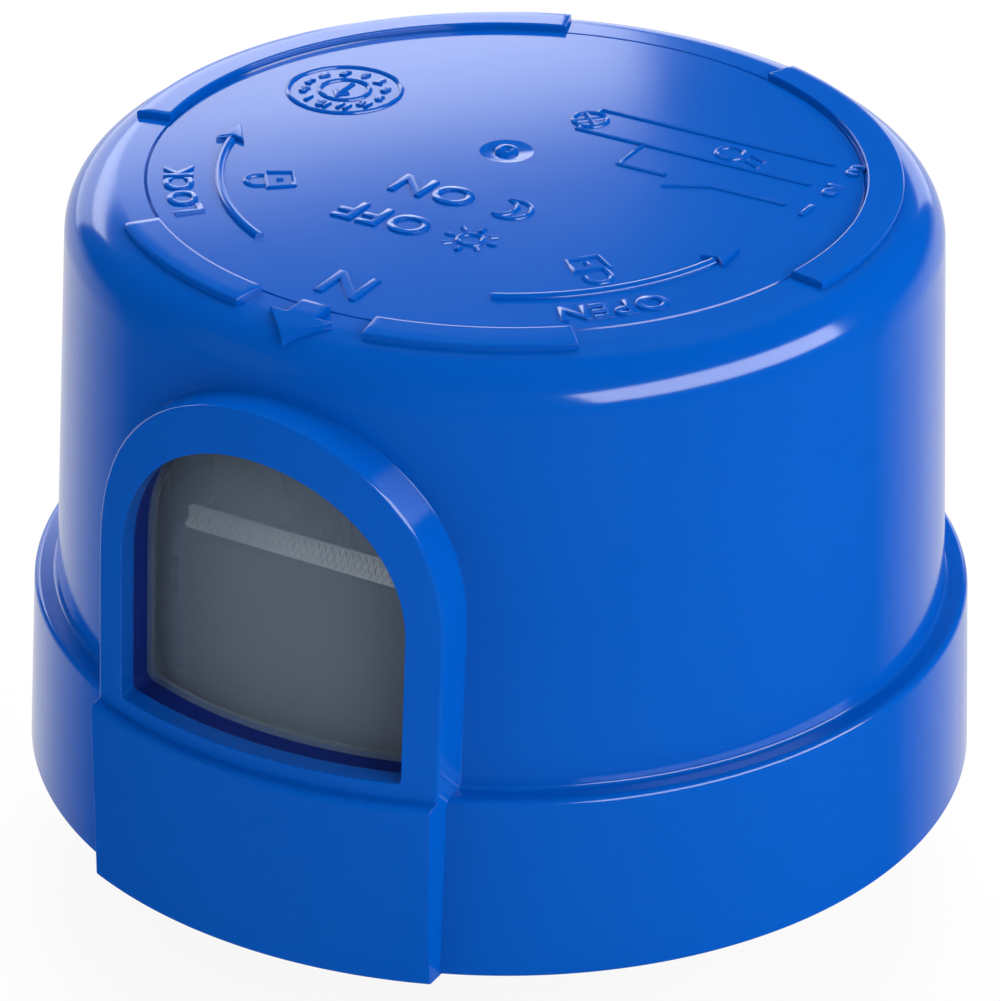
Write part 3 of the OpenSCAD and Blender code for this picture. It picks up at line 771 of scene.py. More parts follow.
@dataclass(frozen=True)
class Arch:
    """Outline of an arch in X and Z, with the same count of points at every size."""

    half: float
    foot: float
    corner: float
    spring: float
    top: float = 0.0
    haunch: float = 0.0
    foot_steps: int = 24
    leg_steps: int = 10
    corner_steps: int = 5
    haunch_steps: int = 16
    crown_steps: int = 24

    def grown(self, by: float) -> "Arch":
        """Give the outline moved outwards by a distance."""
        return replace(
            self,
            half=self.half + by,
            foot=self.foot - by,
            corner=self.corner + by,
            top=self.top + by,
        )

    def head(self) -> list[Flat]:
        """Lay the head's points from the right spring to the left.

        Returns:
            The points of a half circle, or of three arcs where the arch has haunches.
        """
        spring = (0.0, self.spring)
        if not self.haunch:
            return arc(spring, self.half, 0.0, 180.0, 2 * self.haunch_steps + self.crown_steps)
        reach = self.half + self.haunch
        spare = reach - (self.top - self.spring)
        rise = (self.haunch**2 - spare**2) / (2.0 * spare)
        meet = math.degrees(math.atan2(rise, self.haunch))
        right = arc((-self.haunch, self.spring), reach, 0.0, meet, self.haunch_steps)
        crown = arc(
            (0.0, self.spring + rise),
            self.top - self.spring - rise,
            meet,
            180.0 - meet,
            self.crown_steps,
        )
        left = arc((self.haunch, self.spring), reach, 180.0 - meet, 180.0, self.haunch_steps)
        return right + crown[1:-1] + left

    def points(self) -> list[Flat]:
        """Lay the whole outline, from the right foot round the head and back.

        Returns:
            The points in order.
        """
        inner = self.half - self.corner
        low = self.foot + self.corner
        right = arc((inner, low), self.corner, -90.0, 0.0, self.corner_steps)
        left = arc((-inner, low), self.corner, 180.0, 270.0, self.corner_steps)
        head = self.head()
        return [
            *right,
            *straight(right[-1], head[0], self.leg_steps),
            *head,
            *straight(head[-1], left[0], self.leg_steps),
            *left,
            *straight(left[-1], right[0], self.foot_steps),
        ]


@dataclass(frozen=True)
class CoverForm:
    """Driving sizes of the cover: the source's, but for a lower sill and a thinner lip."""

    skirt_r: float = 42.0
    skirt_h: float = 16.5
    shoulder: float = 2.0
    height: float = 53.8
    wall: float = 2.0
    draft: float = 2.9
    crown_round: float = 4.8
    edge_round: float = 0.6
    foot_round: float = 0.4
    rim_round: float = 0.3
    disc_edge: float = 2.2
    window_half: float = 13.55
    window_foot: float = 18.4
    window_spring: float = 31.3
    window_corner: float = 0.4
    pocket_lap: float = 0.8
    frame_w: float = 2.9
    frame_top: float = 4.15
    frame_haunch: float = 4.5
    frame_proud: float = 3.4
    frame_lip: float = 1.8
    tool_in: float = 12.0
    tool_out: float = 4.0

    @property
    def slope(self) -> float:
        """Give the draft as a slope."""
        return math.tan(math.radians(self.draft))

    @property
    def crown_z(self) -> float:
        """Give the height at which the crown's rounding starts."""
        return self.height - self.crown_round

    @property
    def crown_r(self) -> float:
        """Give the radius at which the flat top ends."""
        return self.body_at(self.crown_z) - self.crown_round / math.cos(math.radians(self.draft))

    @property
    def disc_r(self) -> float:
        """Give the radius of the groove round the top disc."""
        return self.crown_r - self.disc_edge

    @property
    def lip_back(self) -> float:
        """Give how far the rear of the frame's lip stands out from the body."""
        return self.frame_proud - self.frame_lip

    def skirt_at(self, z: float) -> float:
        """Give the skirt's radius at a height."""
        return self.skirt_r - z * self.slope

    def body_at(self, z: float) -> float:
        """Give the body's radius at a height."""
        return self.skirt_at(self.skirt_h) - self.shoulder - (z - self.skirt_h) * self.slope

    def crown_at(self, radius: float, lift: float) -> float:
        """Give the height of the top at a radius, raised by a lift along its normal."""
        out = max(radius - self.crown_r, 0.0)
        return self.crown_z + math.sqrt((self.crown_round + lift) ** 2 - out**2)

    def on_body(self, outline: Sequence[Flat], depth: float) -> list[Vector]:
        """Carry an outline in X and Z forward onto the body.

        Args:
            outline: The outline's points.
            depth: How far the surface stands out from the body.

        Returns:
            The points on that surface.
        """
        carried = []
        for x, z in outline:
            radius = self.body_at(z) + depth
            carried.append(Vector((x, -math.sqrt(radius**2 - x**2), z)))
        return carried

    def window(self) -> Arch:
        """Give the outline of the opening."""
        return Arch(self.window_half, self.window_foot, self.window_corner, self.window_spring)

    def pocket(self) -> Arch:
        """Give the outline of the pocket behind the frame's lip."""
        return self.window().grown(self.pocket_lap)

    def surround(self) -> Arch:
        """Give the outer outline of the frame, which runs down into the pad."""
        return Arch(
            self.window_half + self.frame_w,
            self.skirt_h - self.wall / 2.0,
            self.rim_round,
            self.window_spring,
            self.window_spring + self.window_half + self.frame_top,
            self.frame_haunch,
        )

    def through_wall(self, outline: Arch) -> BMesh:
        """Extrude an outline forward into a tool that reaches through the wall."""
        bm = raised(outline.points(), self.crown_r - self.tool_in, self.skirt_r + self.tool_out)
        return placed(bm, rotation("X", 90.0))


@dataclass
class Cover:
    """The moulded cover with its window frame, pad and raised marks."""

    form: CoverForm
    finish: Finish = BLUE
    crease: float = 20.0
    turns: int = 288
    top_steps: int = 12
    crown_steps: int = 28
    body_steps: int = 30
    foot_steps: int = 8
    edge_steps: int = 10
    skirt_steps: int = 14
    rim_steps: int = 6
    inner_steps: int = 8
    opening_share: float = 1.0 / 3.0
    groove_w: float = 0.3
    groove_d: float = 0.25
    relief: float = 0.6
    crest_near: float = 0.05
    bar_gap: float = 0.02
    bar_w: float = 3.1
    bar_edge: float = 0.14
    bar_steps: int = 10
    bar_pitch: float = 1.25
    bar_crease: float = 50.0
    bar_spans: tuple[Flat, ...] = ((10.0, 39.5), (79.0, 160.5))
    arrow_len: float = 5.2
    arrow_lap: float = 0.1
    arrow_stem_w: float = 2.6
    arrow_head_w: float = 5.8
    arrow_head_len: float = 2.9
    arrow_steps: int = 12
    arrow_crease: float = 40.0
    turn_in: float = 6.2
    turn_w: float = 0.9
    turn_relief: float = 0.4
    turn_root: float = 0.3
    turn_span: Flat = (27.0, 74.0)
    turn_steps: int = 40
    turn_round_steps: int = 12
    turn_head_w: float = 2.5
    turn_head_len: float = 3.2
    turn_head_back: float = 0.2
    turn_head_notch: float = 0.15
    turn_head_edge: float = 0.2
    gate_r: float = 2.35
    gate_d: float = 0.16
    gate_near: float = 0.02
    gate_place: Flat = (-2.0, 3.7)
    ball_steps: int = 96
    stub_r: float = 1.0
    stub_h: float = 0.42
    stub_root: float = 0.3
    stub_flare: float = 1.1
    stub_lean: Flat = (7.0, 4.0)
    stub_shares: tuple[Flat, ...] = (
        (0.0, 0.2),
        (0.3, 0.4),
        (0.55, 1.0),
        (0.8, 0.7),
        (1.0, 0.3),
    )
    stub_turns: int = 28
    frame_edge: float = 0.28
    lip_edge: float = 0.12
    frame_fillet: float = 0.06
    fillet_angles: tuple[float, ...] = (12.0, 30.0, 50.0, 70.0, 90.0)
    frame_root: float = 0.05
    frame_back: float = 0.02
    face_shares: Flat = (2.0 / 3.0, 1.0 / 3.0)
    pad_proud: float = 1.7
    pad_rise: float = 0.4
    pad_round: float = 0.6
    pad_shelf: float = 3.4
    pad_steps: int = 12
    pad_turns: int = 60
    pad_crease: float = 50.0

    @property
    def bar_r(self) -> float:
        """Give the inner radius of the bars and of the arrow's tail."""
        return self.form.disc_r + self.groove_w / 2.0 + self.bar_gap

    def shell(self) -> BMesh:
        """Spin the shell and open it for the window and the gate's dish.

        Returns:
            The shell.
        """
        form = self.form
        half = self.groove_w / 2.0
        lean = math.cos(math.radians(form.draft))
        foot_z = form.skirt_h + form.foot_round
        foot_r = form.body_at(foot_z) + form.foot_round / lean
        edge_z = form.skirt_h - form.edge_round
        edge_r = form.skirt_at(edge_z) - form.edge_round / lean
        rim_r = form.skirt_r - form.rim_round
        seat_z = form.skirt_h - form.wall
        bend = (form.crown_r, form.crown_z)
        middle = (0.0, form.height)
        disc = (form.disc_r - half, form.height)
        crown = arc(bend, form.crown_round, 90.0, form.draft, self.crown_steps)
        foot = arc((foot_r, foot_z), form.foot_round, 180.0 + form.draft, 270.0, self.foot_steps)
        edge = arc((edge_r, edge_z), form.edge_round, 90.0, form.draft, self.edge_steps)
        rim = arc((rim_r, form.rim_round), form.rim_round, form.draft, -90.0, self.rim_steps)
        inner = arc(bend, form.crown_round - form.wall, form.draft, 90.0, self.inner_steps)
        profile = [
            middle,
            *straight(middle, disc, self.top_steps),
            disc,
            (form.disc_r, form.height - self.groove_d),
            (form.disc_r + half, form.height),
            *crown,
            *straight(crown[-1], foot[0], self.body_steps),
            *foot,
            *edge,
            *straight(edge[-1], rim[0], self.skirt_steps),
            *rim,
            (form.skirt_r - form.wall, 0.0),
            (form.skirt_at(seat_z) - form.wall, seat_z),
            (form.body_at(seat_z) - form.wall, seat_z),
            *inner,
            (0.0, form.height - form.wall),
        ]
        opening = form.pocket().grown(form.frame_w * self.opening_share)
        shell = combine(lathed(profile, self.turns), form.through_wall(opening), Cut.TAKE)
        return combine(shell, self.dish(), Cut.TAKE)

    def dish(self) -> BMesh:
        """Make the ball that sinks the gate's dish into the top.

        Returns:
            The ball in its place.
        """
        radius = (self.gate_r**2 + self.gate_d**2) / (2.0 * self.gate_d)
        ball = lathed(arc((0.0, 0.0), radius, -90.0, 90.0, self.ball_steps), ROUND_TURNS)
        return moved(ball, *self.gate_place, self.form.height - self.gate_d + radius)

    def on_dish_rim(self, point: Vector) -> bool:
        """Say whether a point lies on the rim of the gate's dish."""
        off = (point.xy - Vector(self.gate_place)).length - self.gate_r
        return max(abs(off), abs(point.z - self.form.height)) < self.gate_near

    def gate_stub(self) -> BMesh:
        """Make the small broken stub in the dish.

        Returns:
            The stub in its place.
        """
        low = -self.gate_d - self.stub_root
        top = self.stub_h - self.gate_d
        profile = [(self.stub_r * r, top * h) for r, h in self.stub_shares]
        foot = [(self.stub_r * self.stub_flare, low), (0.0, low)]
        stub = lathed(profile + foot, self.stub_turns)
        placed(stub, rotation("X", self.stub_lean[0]) @ rotation("Y", self.stub_lean[1]))
        return moved(stub, *self.gate_place, self.form.height)

    def window_frame(self) -> BMesh:
        """Bridge the loops of the frame, from its lip round to the body.

        Returns:
            The frame.
        """
        form = self.form
        proud = form.frame_proud
        fillet = self.frame_fillet
        window = form.window().points()
        pocket = form.pocket().points()
        surround = form.surround()
        outer = surround.points()
        back = -form.wall - self.frame_back
        rows = [
            (window, proud),
            (window, form.lip_back),
            (pocket, form.lip_back),
            (pocket, back),
            (outer, back),
            (surround.grown(fillet).points(), -self.frame_root),
        ]
        for x, y in (polar(fillet, angle) for angle in self.fillet_angles):
            rows.append((surround.grown(fillet - y).points(), fillet - x))
        rim = len(rows)
        rows.append((outer, proud))
        for share in self.face_shares:
            rows.append(([between(a, b, share) for a, b in zip(window, outer)], proud))
        bm, loops = bridged([form.on_body(points, depth) for points, depth in rows])
        soften(bm, loops[rim], self.frame_edge)
        soften(bm, [e for e in loops[0] if e.is_valid], self.lip_edge)
        return bm

    def window_pad(self) -> BMesh:
        """Turn the pad under the window and trim its sides square.

        Returns:
            The pad.
        """
        form = self.form
        half = form.window_half + form.frame_w
        outer = form.skirt_r + self.pad_proud
        skin = form.skirt_r + self.pad_proud / 2.0
        top = form.skirt_h + self.pad_rise
        edge = self.pad_round
        rim = form.rim_round
        into = form.wall / 2.0
        inner = form.skirt_r - into
        section = [
            (inner, into),
            (form.skirt_r - rim, 0.0),
            (outer - rim, 0.0),
            *arc((outer - rim, rim), rim, -60.0, 0.0, 3),
            *straight((outer, rim), (outer, top - edge), self.pad_steps),
            *arc((outer - edge, top - edge), edge, 0.0, 90.0, 6),
            (form.body_at(top) - into, top),
            (form.body_at(top) - into, form.skirt_h - into),
            (inner - into, form.skirt_h - into),
        ]
        bm = turned(section, *FRONT_SECTOR, self.pad_turns)
        for side in SIDES:
            sliced(bm, ACROSS * side * half, ACROSS * side, clear=True)
        bmesh.ops.holes_fill(bm, edges=[e for e in bm.edges if e.is_boundary], sides=0)
        bmesh.ops.recalc_face_normals(bm, faces=bm.faces[:])

        def on_corner(point: Vector) -> bool:
            """Say whether a point lies on the front or the top edge of a side."""
            out, on_side = point.xy.length, abs(abs(point.x) - half) < NEAR
            on_edge = out > skin or (out > skin - self.pad_shelf and point.z > top - NEAR)
            return on_side and on_edge and point.z > 2.0 * NEAR

        soften(bm, creases(bm, self.pad_crease, on_corner), edge, 6)
        return bm

    def on_crest(self, point: Vector) -> bool:
        """Say whether a point lies on the upper face of a raised bar or arrow."""
        crest = self.form.crown_at(point.xy.length, self.relief)
        return point.z > crest - self.crest_near

    def crown_bars(self) -> list[BMesh]:
        """Turn the four raised bars over the crown.

        Returns:
            The bars.
        """
        form = self.form
        shares = [i / self.bar_steps for i in range(self.bar_steps + 1)]
        radii = [self.bar_r + self.bar_w * share for share in shares]
        section = [(r, form.crown_at(r, self.relief)) for r in radii]
        section += [(r, form.crown_at(r, -form.wall / 2.0)) for r in reversed(radii)]
        bars = []
        for first, last in self.bar_spans:
            sweep = last - first
            for start in (first, -last):
                bar = turned(section, start, sweep, round(sweep / self.bar_pitch))
                soften(bar, creases(bar, self.bar_crease, self.on_crest), self.bar_edge)
                bars.append(bar)
        return bars

    def north_arrow(self) -> BMesh:
        """Raise the arrow that points out over the window, bent over the crown.

        Returns:
            The arrow.
        """
        form = self.form
        tail = self.bar_r - self.arrow_lap
        tip = self.bar_r + self.arrow_len
        neck = tip - self.arrow_head_len
        stem = self.arrow_stem_w / 2.0
        head = self.arrow_head_w / 2.0
        left = [(-stem, -tail), (-stem, -neck), (-head, -neck)]
        right = [(-x, y) for x, y in reversed(left)]
        bm = raised([*left, (0.0, -tip), *right], 0.0, 1.0)
        for i in range(1, self.arrow_steps):
            cut = tail + (tip - tail) * i / self.arrow_steps
            sliced(bm, REARWARD * -cut, REARWARD)
        for vert in bm.verts:
            lift = self.relief if vert.co.z > 0.5 else -form.wall / 2.0
            vert.co.z = form.crown_at(vert.co.xy.length, lift)
        soften(bm, creases(bm, self.arrow_crease, self.on_crest), self.bar_edge)
        return bm

    def turn_arrows(self) -> list[BMesh]:
        """Make the two arrows that curve round the disc from the front to the back.

        Returns:
            The shafts and heads.
        """
        top = self.form.height
        root = top - self.turn_root
        middle = self.form.disc_r - self.turn_in
        half = self.turn_w / 2.0
        round_top = arc((0.0, 0.0), 1.0, 180.0, 0.0, self.turn_round_steps)
        section = [
            (middle - half, root),
            *[(middle + half * x, top + self.turn_relief * y) for x, y in round_top],
            (middle + half, root),
        ]
        barb = self.turn_head_w / 2.0
        outline = [
            (-barb, -self.turn_head_back),
            (0.0, self.turn_head_len * self.turn_head_notch),
            (barb, -self.turn_head_back),
            (0.0, self.turn_head_len),
        ]
        first, last = self.turn_span
        parts = []
        for start, side in ((first, 1.0), (-last, -1.0)):
            parts.append(turned(section, start, last - first, self.turn_steps))
            head = raised(outline, root, top + self.turn_relief)
            upper = creases(head, self.arrow_crease, lambda p: p.z > top)
            soften(head, upper, self.turn_head_edge)
            moved(head, middle, 0.0, 0.0)
            mirror = Matrix.Diagonal((side, 1.0, 1.0, 1.0))
            parts.append(placed(head, mirror @ rotation("Z", last - 90.0)))
        return parts

    def build(self) -> bpy.types.Object:
        """Make the whole cover as one piece.

        Returns:
            The piece.
        """
        parts = [
            self.shell(),
            self.window_frame(),
            self.window_pad(),
            self.north_arrow(),
            self.gate_stub(),
            *self.crown_bars(),
            *self.turn_arrows(),
        ]
        return piece_of(
            gather(parts),
            "cover_moulding",
            self.finish,
            ["cover"],
            self.crease,
            self.on_dish_rim,
        )


@dataclass
class TopSigns:
    """Plain raised signs on the cover's top, which read from the rear."""

    form: CoverForm
    finish: Finish = BLUE
    sharp: float = 40.0
    sink: float = 0.1
    stroke: float = 0.3
    stroke_steps: int = 2
    cap_share: float = 0.73
    letter_lift: float = 0.2
    letter_grow: float = 0.04
    letter_edge: float = 0.08
    letter_space: float = 1.08
    letter_steps: int = 4
    ring_steps: int = 20

    def meshed(self, curve: bpy.types.Curve) -> BMesh:
        """Turn a curve or text into a mesh.

        Args:
            curve: The curve, which is removed.

        Returns:
            The mesh, before its place is applied.
        """
        holder = linked("work", curve)
        graph = bpy.context.evaluated_depsgraph_get()
        mesh = bpy.data.meshes.new_from_object(holder.evaluated_get(graph))
        bm = bmesh.new()
        bm.from_mesh(mesh)
        bpy.data.objects.remove(holder)
        bpy.data.meshes.remove(mesh)
        bpy.data.curves.remove(curve)
        bmesh.ops.remove_doubles(bm, verts=bm.verts[:], dist=WELD)
        return bm

    def letters(self, words: str, cap: float) -> BMesh:
        """Raise some words, centred on the origin.

        Args:
            words: Letters or numbers.
            cap: Height of a capital.

        Returns:
            The letters, lying flat.
        """
        curve = bpy.data.curves.new("work", "FONT")
        curve.body = words
        curve.size = cap / self.cap_share
        curve.align_x = "CENTER"
        curve.align_y = "CENTER"
        curve.resolution_u = self.letter_steps
        curve.extrude = self.letter_lift
        curve.offset = self.letter_grow
        curve.bevel_depth = self.letter_edge
        curve.bevel_resolution = 1
        curve.space_character = self.letter_space
        return self.meshed(curve)

    def lines(self, runs: Sequence[Sequence[Flat]], closed: bool = False) -> BMesh:
        """Raise round strokes along some lines.

        Args:
            runs: Points of each line.
            closed: Whether each line joins its own start.

        Returns:
            The strokes, lying flat.
        """
        curve = bpy.data.curves.new("work", "CURVE")
        curve.dimensions = "3D"
        curve.bevel_depth = self.stroke
        curve.bevel_resolution = self.stroke_steps
        curve.use_fill_caps = True
        for run in runs:
            spline = curve.splines.new("POLY")
            spline.points.add(len(run) - 1)
            for point, (x, y) in zip(spline.points, run):
                point.co = (x, y, 0.0, 1.0)
            spline.use_cyclic_u = closed
        return self.meshed(curve)

    def seat(self, bm: BMesh, x: float, y: float) -> BMesh:
        """Set a flat sign's middle on the top so that it reads from the rear."""
        return moved(placed(bm, rotation("Z", 180.0)), x, y, self.form.height - self.sink)

    def bent(self, bm: BMesh, radius: float, angle: float) -> BMesh:
        """Bend a sign round the disc, its head outwards.

        Args:
            bm: The sign, lying flat.
            radius: Radius of its middle line.
            angle: Angle of its middle from the front.

        Returns:
            The sign in its place.
        """
        for vert in bm.verts:
            around = math.radians(angle) - vert.co.x / radius
            out = radius + vert.co.y
            vert.co.x = out * math.sin(around)
            vert.co.y = -out * math.cos(around)
            vert.co.z += self.form.height - self.sink
        return bm

    def padlock(self, open_by: float) -> BMesh:
        """Draw a small padlock.

        Args:
            open_by: How far its bow stands open.

        Returns:
            The padlock, lying flat.
        """
        half, foot, brow, bow_r = 1.5, -1.9, 0.4, 1.0
        bow_z, keyhole = 1.1 + open_by, [(0.0, -0.5), (0.0, -1.1)]
        body = [(-half, foot), (half, foot), (half, brow), (-half, brow), (-half, foot)]
        bow = [
            (-bow_r, brow),
            (-bow_r, bow_z),
            *arc((0.0, bow_z), bow_r, 180.0, 0.0, 10),
            (bow_r, brow + 1.4 * open_by),
        ]
        return self.lines([body, bow, keyhole])

    def sun(self) -> BMesh:
        """Draw a sun: a ring with eight rays.

        Returns:
            The sun, lying flat.
        """
        ring_r, ray_from, ray_to, rays = 1.05, 1.65, 2.35, 8
        angles = [360.0 * i / rays for i in range(rays)]
        ring = arc((0.0, 0.0), ring_r, 0.0, 360.0, self.ring_steps)
        return self.lines([ring, *[[polar(ray_from, a), polar(ray_to, a)] for a in angles]])

    def moon(self) -> BMesh:
        """Draw a moon: a crescent of two arcs.

        Returns:
            The moon, lying flat.
        """
        outer = arc((0.0, 0.0), 1.75, 60.0, 300.0, 18)
        inner = arc((1.15, 0.0), 1.55, 256.0, 104.0, 12)
        return self.lines([outer + inner], closed=True)

    def dial(self, radius: float) -> list[BMesh]:
        """Draw a moulder's month dial: a ring, an arrow and plain numbers.

        Args:
            radius: Radius of the ring.

        Returns:
            The dial's parts, lying flat.
        """
        hub_r, number_r, tip = radius * 0.44, radius * 0.72, radius * 0.28
        barb_x, barb_y, cap = radius * 0.14, radius * 0.1, 0.95
        ring = arc((0.0, 0.0), radius, 0.0, 360.0, 40)
        hub = arc((0.0, 0.0), hub_r, 0.0, 360.0, 24)
        needle = [(0.0, -tip), (0.0, tip)]
        barb = [(-barb_x, barb_y), (0.0, tip), (barb_x, barb_y)]
        parts = [self.lines([ring, hub, needle, barb])]
        for month in range(1, 13):
            spot = polar(number_r, 90.0 - 30.0 * month)
            parts.append(moved(self.letters(str(month), cap), *spot, 0.0))
        return parts

    def wiring(self) -> list[BMesh]:
        """Draw the contacts' plan: three numbered rails, a switch, a cell and a lamp.

        Returns:
            The plan's parts, lying flat.
        """
        high, low = 4.6, -4.6
        left, cap, number_out = -13.0, 2.2, 2.0
        contact, blade, post, joint = -6.0, (-2.2, high + 1.9), -1.6, 3.0
        lamp_x, lamp_y, lamp_r, cross = 9.5, -2.3, 1.5, 1.05
        cell, cell_r = (-4.2, -2.3), 1.2
        runs = [
            [(left, high), (contact, high), blade],
            [(post, high), (joint, high), (joint, 0.0), (left, 0.0)],
            [(joint, 0.0), (lamp_x, 0.0), (lamp_x, lamp_y + lamp_r)],
            [(lamp_x, lamp_y - lamp_r), (lamp_x, low), (left, low)],
            arc((lamp_x, lamp_y), lamp_r, 0.0, 360.0, 24),
            *[
                [(lamp_x - cross, lamp_y - side * cross), (lamp_x + cross, lamp_y + side * cross)]
                for side in SIDES
            ],
            arc(cell, cell_r, 0.0, 360.0, self.ring_steps),
            *[[(-7.6, ray), (-6.1, ray - 0.7)] for ray in (-0.9, -2.1)],
        ]
        parts = [self.lines(runs)]
        for number, rail in zip("123", (high, 0.0, low)):
            parts.append(moved(self.letters(number, cap), left - number_out, rail, 0.0))
        return parts

    def build(self) -> bpy.types.Object:
        """Set every sign on the top as one piece.

        Returns:
            The piece.
        """
        signs = [
            self.seat(self.letters("N", 4.2), 0.0, -25.6),
            self.bent(self.letters("LOCK", 2.5), 27.6, -51.0),
            self.bent(self.letters("OPEN", 2.5), 27.6, 48.0),
            self.bent(self.padlock(0.0), 20.0, -54.0),
            self.bent(self.padlock(0.7), 20.0, 50.0),
            self.seat(self.sun(), 4.2, -13.2),
            self.seat(self.letters("OFF", 3.4), -4.0, -13.2),
            self.seat(self.moon(), 4.2, -6.4),
            self.seat(self.letters("ON", 3.4), -3.2, -6.4),
            *[self.seat(part, -20.6, 7.6) for part in self.dial(5.0)],
            *[self.seat(part, 10.5, 10.8) for part in self.wiring()],
        ]
        return piece_of(gather(signs), "top_signs", self.finish, sharp=self.sharp)


@dataclass
class WindowLens:
    """The lens behind the frame, stepped round its border, whose grey haze is partly painted
    reflection, and a thin sleeve before it whose navy colour is painted shade for the shadowed
    pocket.
    """

    form: CoverForm
    finish: Finish = SMOKE_AND_REFLECTION
    thick: float = 1.8
    lap: float = 1.4
    fit: float = 0.15
    face: float = 1.4
    face_root: float = 0.5
    border: float = 1.0
    border_root: float = 0.3
    step: float = 0.3
    spare: float = 1.0
    plate_steps: int = 32
    plate_turns: int = 72
    seal_t: float = 0.3
    seal_gap: float = 0.02

    def plate(self, outline: Arch, back: float, front: float) -> BMesh:
        """Cut one curved plate to an arch.

        Args:
            outline: The plate's outline.
            back: How far its rear stands out from the body.
            front: How far its front stands out from the body.

        Returns:
            The plate.
        """
        form = self.form
        low = outline.foot - self.spare
        high = outline.spring + outline.half + self.spare
        shares = [i / self.plate_steps for i in range(self.plate_steps + 1)]
        heights = [low + (high - low) * share for share in shares]
        section = [(form.body_at(z) + front, z) for z in heights]
        section += [(form.body_at(z) + back, z) for z in reversed(heights)]
        blank = turned(section, *FRONT_SECTOR, self.plate_turns)
        return combine(blank, form.through_wall(outline), Cut.KEEP)

    def seal(self, pocket: Arch) -> BMesh:
        """Bridge the thin sleeve that lines the pocket between the lip and the lens; its dark navy
        colour is painted shade for the pocket's shadow.

        Args:
            pocket: Outline of the pocket that the lens stands in.

        Returns:
            The seal.
        """
        near = self.form.lip_back - self.seal_gap
        far = self.face - self.form.wall - self.step + self.seal_gap
        outer = pocket.grown(-self.seal_gap).points()
        inner = pocket.grown(-self.seal_t).points()
        rows = [(inner, near), (outer, near), (outer, far), (inner, far)]
        return bridged([self.form.on_body(line, depth) for line, depth in rows])[0]

    def build(self) -> list[bpy.types.Object]:
        """Join the lens's flange, face and border step, and line the pocket before them with the
        sleeve of painted shade.

        Returns:
            The pieces.
        """
        rear = -self.form.wall
        front = self.face + rear
        pocket = self.form.pocket()
        back = rear - self.fit - self.thick
        flange = self.plate(pocket.grown(self.lap), back, rear - self.fit)
        border = self.plate(pocket.grown(-self.fit), back + self.border_root, front - self.step)
        face = self.plate(pocket.grown(-self.fit - self.border), back + self.face_root, front)
        whole = combine(combine(flange, border, Cut.JOIN), face, Cut.JOIN)
        lens = piece_of(gather([whole]), "lens_plate", self.finish, ["window_lens"])
        lens.visible_shadow = False
        # The sleeve is no real part: its dark navy paints the pocket's shadow.
        seal = piece_of(gather([self.seal(pocket)]), "pocket_shade_sleeve", POCKET_PAINTED_SHADE)
        return [lens, seal]


